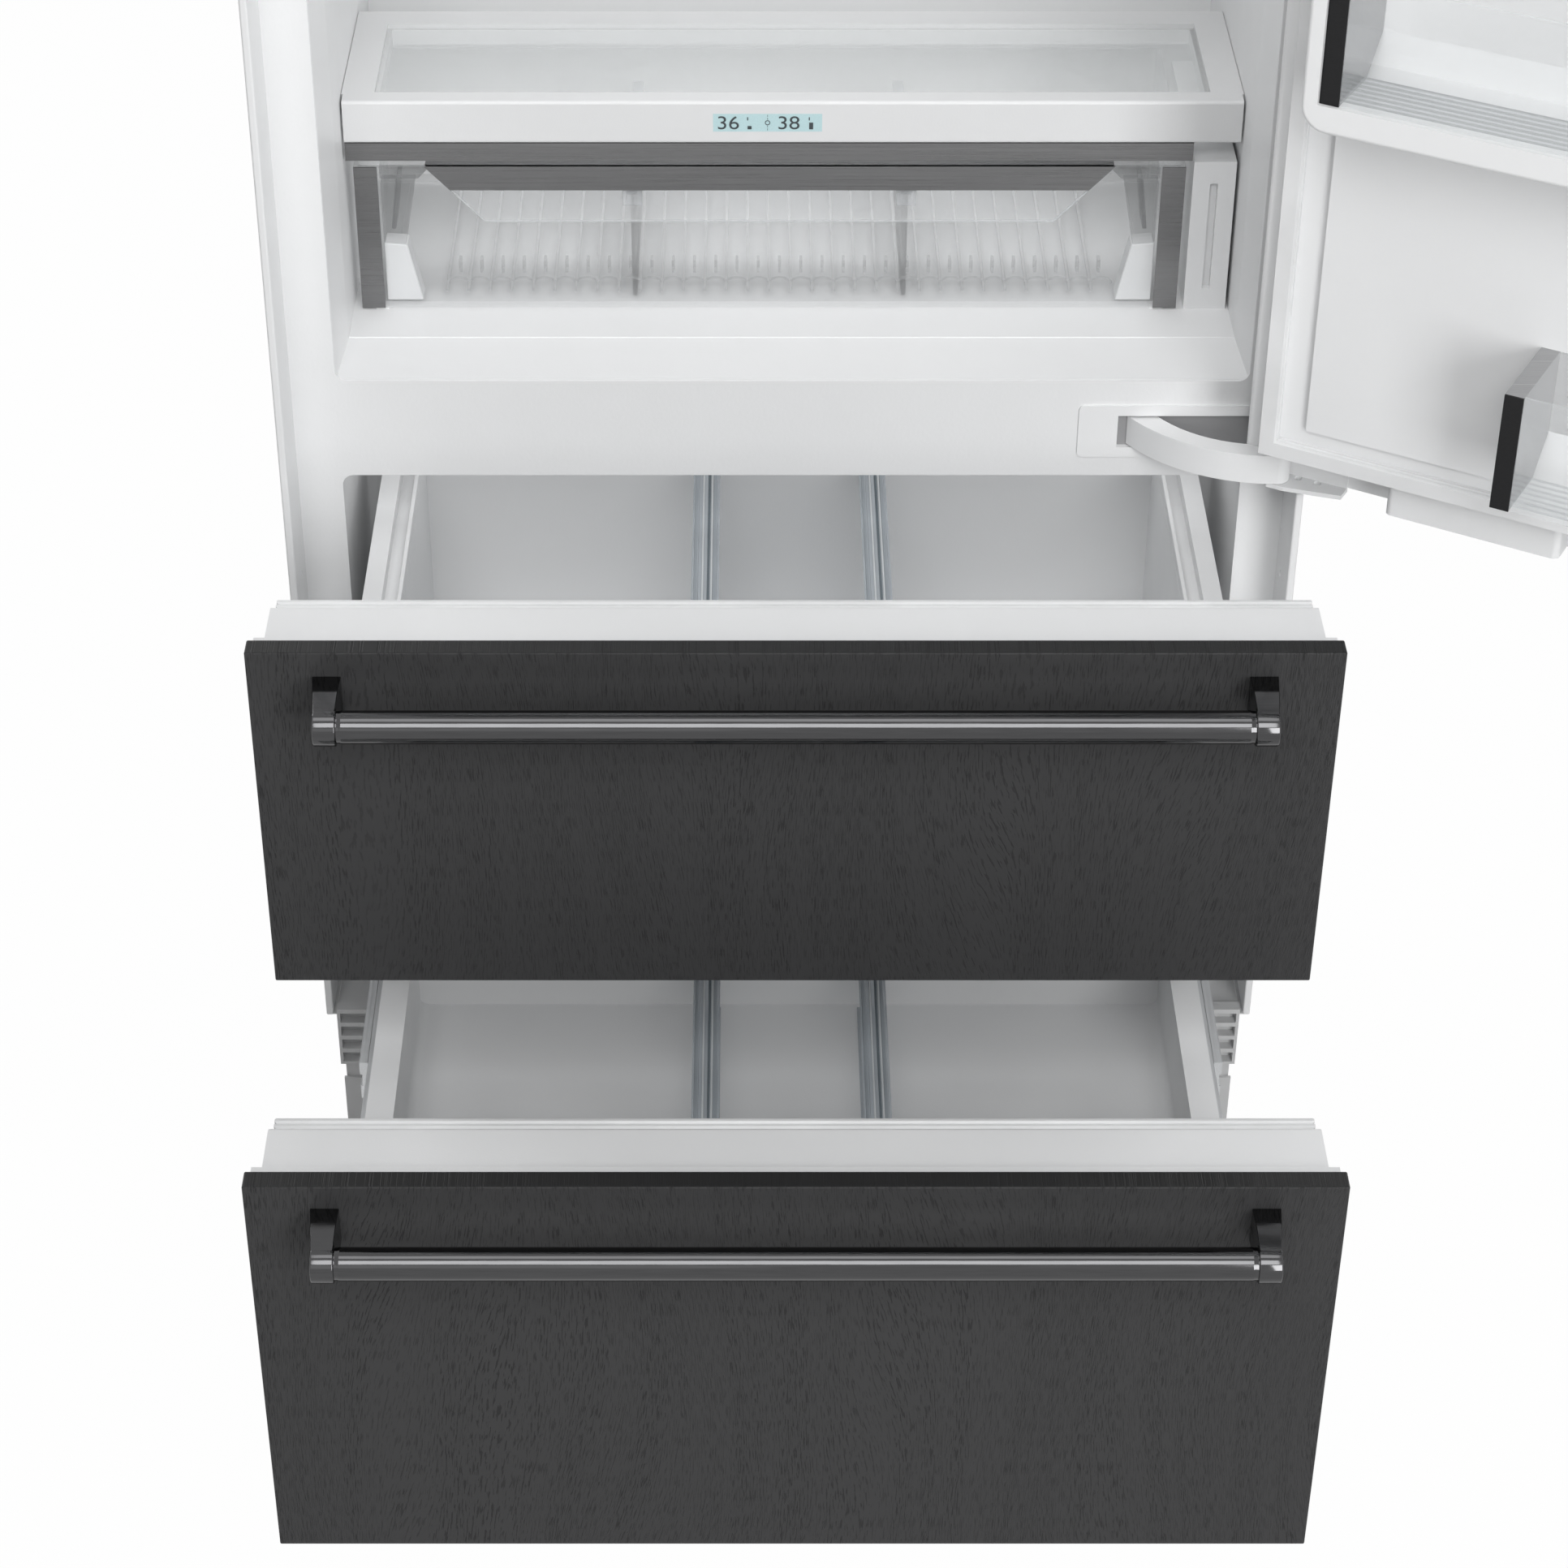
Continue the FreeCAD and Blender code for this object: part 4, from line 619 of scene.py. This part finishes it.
class FRIDGE_OT_carcass(bpy.types.Operator):
    """Finishes of the carcass, the compartments and the machine room"""
    bl_idname = "fridge.carcass"
    bl_label = "Carcass"

    def execute(self, context):
        white = context.scene.fridge_finishes.white
        enamel = moulded_white("white_enamel", white, 0.34, 240.0, 0.0004, 0.15)
        plastic = moulded_white("white_moulding", white, 0.38, 500.0, 0.0002)
        dress(enamel, "outer_wrap", "face_frame", "side_flanges")
        # Painted shade: the grille, the kick plate and the lips and returns beside them get the white darkened to 0.66
        # times, for the shade under the lower drawer.
        grey = moulded_white("painted_shade_grey_enamel", [0.66 * v for v in white], 0.4, 240.0, 0.0004)
        dress(grey, "louvre_panel", "kick_plate")
        self.lips(grey)
        self.returns(grey)
        # The control fascia and the crisper deck get the white darkened to 0.86 times.
        dress(moulded_white("darkened_white_moulding", [0.86 * v for v in white], 0.38, 500.0, 0.0002), "control_fascia",
              "crisper_deck")
        dress(plastic, "fridge_liner", "drawer_liners", "air_filter_module", "shelf_frames", "shelf_tracks",
              "hinge_masks", "upper_drawer_box", "lower_drawer_box", "door_shell", "upper_drawer_shell",
              "lower_drawer_shell", "door_liner", "door_closer_housing")
        dress(brushed_metal("zinc_sheet", (0.56, 0.57, 0.58), 0.45), "back_panel", "base_tray")
        dress(brushed_metal("slide_steel", (0.62, 0.63, 0.64), 0.35, (700, 6, 1400)), "slide_rails",
              "upper_slide_inner", "upper_slide_middle", "lower_slide_inner", "lower_slide_middle",
              "levelling_feet")
        dress(moulded_white("hinge_enamel", white, 0.36, 240.0, 0.0003, 0.1), "hinge_brackets")
        dress(arm_enamel_with_painted_shade("arm_enamel_with_painted_shade", white, box("face_frame")[0][1]), "hinge_arms")
        dress(brushed_metal("pin_steel", (0.55, 0.55, 0.56), 0.25), "hinge_pins")
        dress(matte_moulding("foam", (0.75, 0.66, 0.45), 0.9), "insulation")
        dress(brushed_metal("bare_aluminium", (0.72, 0.73, 0.74), 0.4), "evaporator", "condenser")
        dress(matte_moulding("black_enamel", (0.02, 0.02, 0.021), 0.35), "compressor")
        dress(matte_moulding("black_moulding", (0.03, 0.03, 0.031), 0.55), "fan_shroud", "fan_rotor")
        self.lines(plastic)
        clear = clear_moulding("shelf_glass_sheet", (0.92, 0.945, 0.95), 0.03, 0.5)
        dress(clear, "shelf_glass", "crisper_glass")
        return {"FINISHED"}

    def lips(self, enamel):
        """An upstand behind each slot of the grille, at the slots' places in the source."""
        low, high = box("louvre_panel")
        share = (high[0] - low[0]) / GRILLE["columns"]
        back = low[1] + GRILLE["thick"]
        parts = []
        for column in range(GRILLE["columns"]):
            left = low[0] + column * share + GRILLE["margin"]
            for row in range(GRILLE["rows"]):
                base = low[2] + GRILLE["margin"] + row * GRILLE["pitch"]
                parts.append(slab((left, back - GRILLE["lip"], base),
                                  (left + share - 2 * GRILLE["margin"], back, base + GRILLE["upstand"])))
        piece("louvre_lips", parts, enamel, "cabinet", "white_steel")

    def returns(self, enamel):
        """Small returns beside the grille: under each flange and at each end of the kick plate's rail."""
        low, high = box("louvre_panel")
        flange_low, flange_high = box("side_flanges")
        kick, gap = box("kick_plate")[1][0] - GRILLE["rail_inset"], GRILLE["skin"]
        spans = ((high[0], flange_high[0] - GRILLE["lip"], flange_low[1], flange_high[1], flange_low[2],
                  flange_low[2] + GRILLE["lip"]),
                 (kick, kick + GRILLE["rail_end"], low[1] + GRILLE["rail_front"], low[1] + GRILLE["rail_back"],
                  low[2] - GRILLE["rail_drop"], low[2]))
        parts = []
        for sign in (-1, 1):
            for near, far, front, back, foot, top in spans:
                left, right = sorted((sign * near, sign * far))
                parts.append(slab((left, front + gap, foot + gap), (right, back - gap, top - gap)))
        piece("toe_returns", parts, enamel, "cabinet", "white_steel")

    def lines(self, plastic):
        """The crease of the cold room's sill, and the thin inner lip of the upper drawer's box."""
        face = box("face_frame")[0][1]
        half = box("fridge_liner")[1][0] - SILL["liner"] - SILL["flare"]
        floor = box("crisper_drawer")[0][2] - SILL["lift"]
        crease = straight(-half, half, face + SILL["depth"], floor - SILL["bead"] / 2, 40)
        piece("sill_crease", [bead(crease, SILL["bead"])], plastic, "cabinet", "white_plastic")
        low, high = box("upper_drawer_box")
        lips = []
        for sign in (-1, 1):
            inner, outer = sign * (high[0] - LIP["wall"]), sign * (high[0] - LIP["wall"] + LIP["thick"])
            lips.append(slab((min(inner, outer), low[1] + LIP["end"], high[2] - LIP["drop"]),
                             (max(inner, outer), high[1] - LIP["wall"] / 2, high[2] - LIP["below"])))
        soft_edges(piece("upper_drawer_box_lip", lips, plastic, "upper_drawer", "white_plastic"), LIP["thick"] / 4)


class FRIDGE_OT_fronts(bpy.types.Operator):
    """Stained panels and bellows seals of the door and the drawers"""
    bl_idname = "fridge.fronts"
    bl_label = "Fronts"

    def execute(self, context):
        charcoal = context.scene.fridge_finishes.charcoal
        for name, turn in (("upper_drawer", 0.0), ("lower_drawer", 0.0), ("door", -SWING)):
            node = f"{name}_panel"
            dress(stained_wood(f"charcoal_wood_{name}", charcoal, box(node)[1][2], turn), node)
        rubber = matte_moulding("pale_rubber", (0.76, 0.765, 0.77), 0.5)
        for name in ("upper_drawer", "lower_drawer", "door"):
            node = f"{name}_seal"
            low, high = closed_box(node) if name == "door" else box(node)
            part = self.bellows(low, high - (0, SEAL["mask_room"] if name == "door" else 0, 0))
            piece(f"{node}_bellows", [swung(part) if name == "door" else part], rubber, name, "seal", node)
        return {"FINISHED"}

    def bellows(self, low, high):
        """A seal's section of two folds and a soft nose, carried round the front."""
        fold = np.array(SEAL["fold"])
        section = np.concatenate([fold, fold[::-1] * (-1, 1) + (1, 0)]) * (SEAL["wide"], high[1] - low[1])
        middle = ((low[0] + high[0]) / 2, (low[2] + high[2]) / 2)
        return picture_frame(section, middle, high[0] - low[0], high[2] - low[2], low[1])


class FRIDGE_OT_handles(bpy.types.Operator):
    """Dark bar handles with their posts and rings"""
    bl_idname = "fridge.handles"
    bl_label = "Handles"

    def execute(self, context):
        sizes = context.scene.fridge_handles
        metal = polished_dark("dark_polish", context.scene.fridge_finishes.dark_metal)
        for name in ("upper", "lower"):
            bar, front = box(f"{name}_handle_bar"), box(f"{name}_drawer_panel")[0][1]
            self.make(sizes, metal, name, f"{name}_drawer", bar, front, 0, 2, lambda part: part)
        bar, front = closed_box("door_handle_bar"), closed_box("door_panel")[0][1]
        self.make(sizes, metal, "door", "door", bar, front, 2, 0, swung)
        return {"FINISHED"}

    def make(self, sizes, metal, name, body, bar, front, run, rise, place):
        """One handle: a bar along axis run, with posts whose shoulders rise along axis rise."""
        middle, half = (bar[0] + bar[1]) / 2, (bar[1] - bar[0])[run] / 2
        radius = (bar[1] - bar[0])[rise] / 2
        stand = front - middle[1]
        ring, rim = sizes.ring_width, sizes.rim
        inner = half - sizes.lean - ring + rim
        neck = np.array(NECK["steps"]) * (-1, 1) + (inner, 0)
        half_way = np.linspace(inner - NECK["end"], 0.0, 12)
        side = np.concatenate([neck, np.stack([half_way, np.full(12, NECK["bar"])], -1)]) * (1, radius)
        profile = np.concatenate([side * (-1, 1), side[-2::-1]])
        tube = lathe(profile, middle, "xyz"[run])
        piece(f"{name}_handle_tube", [place(tube)], metal, body, "dark_steel", f"{name}_handle_bar")
        posts = []
        along, up = np.eye(3)[run], np.eye(3)[rise]
        for sign in (-1, 1):
            foot, end = (middle + sign * reach * along for reach in (half, half - sizes.lean))
            bend = np.linspace(0, np.pi / 2, 6)
            corner = np.stack([rim * (1 - np.sin(bend)), sizes.ring_radius - rim + rim * np.cos(bend)], -1)[::-1]
            front_face = np.array([(NECK["dish"], 0.0), (NECK["dish"], sizes.ring_radius - NECK["dish_rim"] * rim),
                                   (0.0, sizes.ring_radius - NECK["face_rim"] * rim)])
            mirrored = (corner[::-1] - (ring / 2, 0)) * (-1, 1) + (ring / 2, 0)
            ring_profile = np.concatenate([front_face, corner, mirrored, [(ring, 0.0)]]) * (-sign, 1)
            posts.append(lathe(ring_profile, end, "xyz"[run]))
            posts.append(self.arm(sizes, foot, -sign * along, up, stand))
        made = piece(f"{name}_handle_arms", [place(part) for part in posts], metal, body, "dark_steel",
                     f"{name}_handle_posts")
        soft_edges(made, rim)

    def arm(self, sizes, end, inwards, up, stand):
        """A post from the panel to its ring: a flat shoulder, a slope that meets the ring, and one raked side.

        The outline's points are (out, rise) from the panel, and the inner side lies at width - rake * out.
        """
        shoulder = np.array([sizes.shoulder - stand, sizes.rise])
        reach = sizes.ring_radius * NECK["reach"]
        touch = math.atan2(shoulder[1], shoulder[0]) - math.acos(reach / np.linalg.norm(shoulder))
        outline = np.array([(0.0, -NECK["foot"]), (0.0, sizes.rise), (sizes.shoulder, sizes.rise),
                            (stand + reach * math.cos(touch), reach * math.sin(touch)),
                            (stand, 0.0), (stand, -reach)])
        out = np.array((0.0, -1.0, 0.0))
        root = end - stand * out + NECK["skin"] * inwards
        ring = root + outline[:, :1] * (out + sizes.lean / stand * inwards) + outline[:, 1:] * up
        narrowing = sizes.post_width - sizes.ring_width + NECK["step"]
        width = sizes.post_width - narrowing * outline[:, :1] / stand
        return capped(ring, ring + width * inwards)


class FRIDGE_OT_crisper(bpy.types.Operator):
    """Clear crisper, its steel trims and the lit display"""
    bl_idname = "fridge.crisper"
    bl_label = "Crisper"

    def execute(self, context):
        sizes = context.scene.fridge_crisper
        clear = clear_moulding("clear_plastic", (0.90, 0.92, 0.935), 0.03, 0.34)
        dress(clear, "crisper_drawer")
        dress(clear_moulding("divider_plastic", (0.95, 0.96, 0.97), 0.04, 0.2), "crisper_dividers")
        steel = brushed_metal("brushed_steel", (0.20, 0.20, 0.202), 0.3)
        dress(steel, "crisper_trims", "deck_trim")
        dress(lit_screen("screen", context.scene.fridge_finishes.screen), "display_window")
        self.floor(sizes)
        self.corners(clear, steel)
        self.flanges()
        self.dividers()
        self.figures(sizes)
        return {"FINISHED"}

    def floor(self, sizes):
        """Long ribs over the crisper's floor, with a comb of short tabs at their front ends."""
        low, high = box("crisper_drawer")
        top = low[2] + COMB["floor"]
        middle = (low[0] + high[0]) / 2
        places = middle + (np.arange(sizes.rib_count) - (sizes.rib_count - 1) / 2) * sizes.rib_pitch
        front, back, half = low[1] + COMB["front"], high[1] - COMB["back"], sizes.rib_width / 2
        arch = np.linspace(0, np.pi, 9)
        parts = []
        for x in places:
            parts.append(slab((x - half, front, top), (x + half, back, top + sizes.rib_height)))
            tab = x + sizes.rib_pitch / 2
            parts.append(slab((tab - half, front + COMB["tab_start"], top),
                              (tab + half, front + COMB["tab_end"], top + COMB["tab_rise"] * sizes.rib_height)))
            hoop = np.stack([tab + 0.5 * sizes.rib_pitch * np.cos(arch), np.full(9, front + COMB["hoop"]),
                             top + COMB["hoop_lift"] + COMB["hoop_rise"] * np.sin(arch)], -1)
            parts.append(bead(hoop, COMB["wire"], 6))
        frosted = clear_moulding("rib_plastic", (0.95, 0.96, 0.97), 0.14, 0.5)
        piece("crisper_ribs", parts, frosted, "crisper", "clear_plastic")

    def corners(self, clear, steel):
        """Bead round the dip of the crisper's front, lip of the pull, and gussets and columns at the corners."""
        low, high = box("crisper_drawer")
        y, top = low[1] + CORNER["wall"], high[2]
        middle, half = (low[0] + high[0]) / 2, (high[0] - low[0]) / 2 - DIP["side"]
        corner = [(middle - half, top), (middle - half + DIP["slope"], top - DIP["depth"])]
        knee = np.array(corner + [(2 * middle - x, z) for x, z in corner[::-1]])
        place = np.linspace(0, 3, 61)
        route = np.stack([np.interp(place, range(4), knee[:, 0]), np.full(61, y),
                          np.interp(place, range(4), knee[:, 1])], -1)
        edge = clear_moulding("clear_edge", (0.74, 0.76, 0.775), 0.28, 0.7)
        piece("crisper_edge", [bead(route, CORNER["bead"])], edge, "crisper", "clear_plastic")
        lip = slab((knee[0, 0] + PULL["end"], low[1] + PULL["end"], top - PULL["thick"]),
                   (knee[-1, 0] - PULL["end"], low[1] + PULL["deep"], top))
        soft_edges(piece("crisper_pull_lip", [lip], steel, "crisper", "steel"), PULL["thick"] / 4)
        milky = clear_moulding("milky_plastic", (0.84, 0.85, 0.86), 0.55, 0.85)
        for name, forms, finish, rounding in (("gussets", GUSSETS, milky, 0.0015), ("columns", COLUMNS, clear, 0.0012)):
            parts = []
            for sign in (-1, 1):
                start = (low[0] if sign < 0 else high[0]) - sign * CORNER["inset"]
                parts += [prism(outline, (start, y + near, low[2] + CORNER["foot"]), (-sign, 0, 0), (0, 0, 1),
                                (0, deep, 0)) for outline, near, deep in forms]
            soft_edges(piece(f"crisper_{name}", parts, finish, "crisper", "clear_plastic"), rounding)

    def flanges(self):
        """A flat flange on top of each of the crisper's dividers, with a clip at its front end."""
        low, high = box("crisper_dividers")
        edge = clear_moulding("flange_plastic", (0.76, 0.78, 0.80), 0.26, 0.7)
        parts = []
        for x in (low[0] + FLANGE["web"], high[0] - FLANGE["web"]):
            parts.append(slab((x - FLANGE["half"], low[1], high[2] - FLANGE["thick"]),
                              (x + FLANGE["half"], high[1], high[2])))
            parts.append(slab((x - FLANGE["clip"], low[1], high[2] - FLANGE["clip_height"]),
                              (x + FLANGE["clip"], low[1] + FLANGE["clip_depth"], high[2])))
        soft_edges(piece("crisper_divider_flanges", parts, edge, "crisper", "clear_plastic"), FLANGE["edge"])

    def dividers(self):
        """Drawer dividers with a ridged flange above and below a thin web, and painted shade and painted highlights as
        fine lines on top.
        """
        smoke = clear_moulding("smoked_plastic", (0.47, 0.51, 0.545), 0.52, 0.82)
        dark = clear_moulding("divider_shade", (0.13, 0.165, 0.185), 0.75, 0.9)
        light = clear_moulding("divider_glint", (0.78, 0.80, 0.815), 0.6, 0.85)
        for name in ("upper", "lower"):
            node = f"{name}_drawer_dividers"
            low, high = box(node)
            half = DIVIDER["half"]
            right = np.concatenate([[DIVIDER["web"]], np.array(DIVIDER["head"]) * (half, 1)])
            top = np.stack([right[:, 0], high[2] - low[2] - right[:, 1]], -1)
            side = np.concatenate([right[::-1], top])
            outline = np.concatenate([side, side[::-1] * (-1, 1)])
            parts = [prism(outline, (x, low[1], low[2]), (1, 0, 0), (0, 0, 1), (0, high[1] - low[1], 0))
                     for x in (low[0] + half, high[0] - half)]
            piece(f"{node}_moulded", parts, smoke, f"{name}_drawer", "clear_plastic", node)
            # Painted shade and painted highlights: dark and light beads along the top of each divider.
            for kind, tint in (("dark", dark), ("light", light)):
                run = np.linspace(low[1] + DIVIDER["line_end"], high[1] - DIVIDER["line_end"], 16)
                level = np.full(16, high[2] - DIVIDER["line_drop"])
                lines = [bead(np.stack([np.full(16, x + share * half), run, level], -1), DIVIDER["line"], 6)
                         for x in (low[0] + half, high[0] - half) for share in DIVIDER[kind]]
                piece(f"{node}_{kind}_lines", lines, tint, f"{name}_drawer", "clear_plastic")

    def figures(self, sizes):
        """Plain numbers and small marks on the display."""
        ink = matte_moulding("screen_ink", (0.035, 0.045, 0.05), 0.4)
        low, high = box("display_window")
        y, base = low[1] - MARK["skin"], (low[2] + high[2]) / 2 - sizes.digit_height / 2
        span, back = high[0] - low[0], y + MARK["skin"]
        parts = [lettering(body, sizes.digit_height, low[0] + share * span, base, y)
                 for body, share in MARK["numbers"]]
        left, right, foot, head = MARK["tick"]
        for share, fill in MARK["gauges"]:
            x = low[0] + share * span
            parts.append(slab((x - MARK["half"], y, base),
                              (x + MARK["half"], back, base + MARK["fill"] * fill + MARK["foot"])))
            parts.append(slab((x - left, y, base + foot), (x - right, back, base + head)))
        x = low[0] + MARK["sun"] * span
        turn = np.linspace(0, 2 * np.pi, 25)
        ring = np.stack([x + MARK["ring"] * np.cos(turn), np.full(25, back),
                         base + sizes.digit_height / 2 + MARK["ring"] * np.sin(turn)], -1)
        parts.append(bead(ring, MARK["wire"], 6))
        parts += [slab((x - MARK["skin"], y, base + k), (x + MARK["skin"], back, base + k + MARK["ray"]))
                  for k in MARK["rays"]]
        piece("display_figures", parts, ink, "cabinet", "black_plastic")


class FRIDGE_OT_bins(bpy.types.Operator):
    """Clear bins of the door with ribbed floors, steel ends and dark trims"""
    bl_idname = "fridge.bins"
    bl_label = "Bins"

    def execute(self, context):
        clear = clear_moulding("bin_plastic", (0.86, 0.895, 0.91), 0.06, 0.42)
        dress(clear, "door_bins")
        dress(brushed_metal("dark_trim", (0.028, 0.028, 0.029), 0.35), "bin_trims")
        self.ribs(clear)
        self.ends()
        return {"FINISHED"}

    def rows(self):
        """Each bin's near corner and its far end along x, as the closed door holds them."""
        low, high = closed_box("door_bins")
        ends = ((low[2], BIN["low_gap"]), (BIN["base"], 0.0), (BIN["base"] + BIN["pitch"], 0.0))
        return [(np.array((low[0], low[1], base)), high[0] - gap) for base, gap in ends]

    def ribs(self, clear):
        """Fine beads along each floor at y = start + k * pitch from the liner."""
        parts = []
        for near, far in self.rows():
            for k in range(BIN["ribs"]):
                y, z = near[1] + BIN["rib_start"] + k * BIN["rib_pitch"], near[2] + BIN["rib_rise"]
                route = straight(near[0] + BIN["rib_end"], far - BIN["rib_end"], y, z, 24)
                parts.append(swung(bead(route, BIN["rib_radius"], 6)))
        piece("bin_ribs", parts, clear, "door", "clear_plastic")

    def ends(self):
        """A steel cap over each end wall: the wall's own outline, carried a trim's width along x."""
        steel = brushed_metal("cap_steel", (0.42, 0.42, 0.425), 0.22, (6, 900, 900))
        heel, deep, tall, gap = BIN["heel"], BIN["depth"], BIN["height"], BIN["skin"]
        outline = np.array([(0, heel), (heel, 0), (deep, 0), (deep, tall), (0, tall)]) + (0, gap)
        parts = []
        for near, far in self.rows():
            for x, way in ((near[0] - gap, 1), (far + gap, -1)):
                parts.append(swung(prism(outline if way > 0 else outline[::-1], (x, near[1], near[2]), (0, 1, 0),
                                         (0, 0, 1), (way * BIN["cap"], 0, 0))))
        piece("bin_caps", parts, steel, "door", "steel")


class FRIDGE_PT_sidebar(bpy.types.Panel):
    """The steps of the model, in order"""
    bl_idname = "FRIDGE_PT_sidebar"
    bl_label = "Refrigerator"
    bl_space_type = "VIEW_3D"
    bl_region_type = "UI"
    bl_category = "Refrigerator"

    def draw(self, context):
        for step in STEPS:
            self.layout.operator(step.bl_idname)


GROUPS = {"fridge_handles": HandleSizes, "fridge_crisper": CrisperSizes, "fridge_finishes": Finishes,
          "fridge_stage": StageSizes}
STEPS = (FRIDGE_OT_stage, FRIDGE_OT_carcass, FRIDGE_OT_fronts, FRIDGE_OT_handles, FRIDGE_OT_crisper,
         FRIDGE_OT_bins)


def register():
    """Add the classes and give the scene its groups of sizes."""
    for kind in (*GROUPS.values(), *STEPS, FRIDGE_PT_sidebar):
        bpy.utils.register_class(kind)
    for name, kind in GROUPS.items():
        setattr(bpy.types.Scene, name, PointerProperty(type=kind))


def unregister():
    """Undo what register does, in reverse."""
    for name in GROUPS:
        delattr(bpy.types.Scene, name)
    for kind in (FRIDGE_PT_sidebar, *reversed(STEPS), *reversed(tuple(GROUPS.values()))):
        bpy.utils.unregister_class(kind)


def main():
    """Run every step."""
    register()
    for step in STEPS:
        group, name = step.bl_idname.split(".")
        getattr(getattr(bpy.ops, group), name)()


if __name__ == "__main__":
    main()
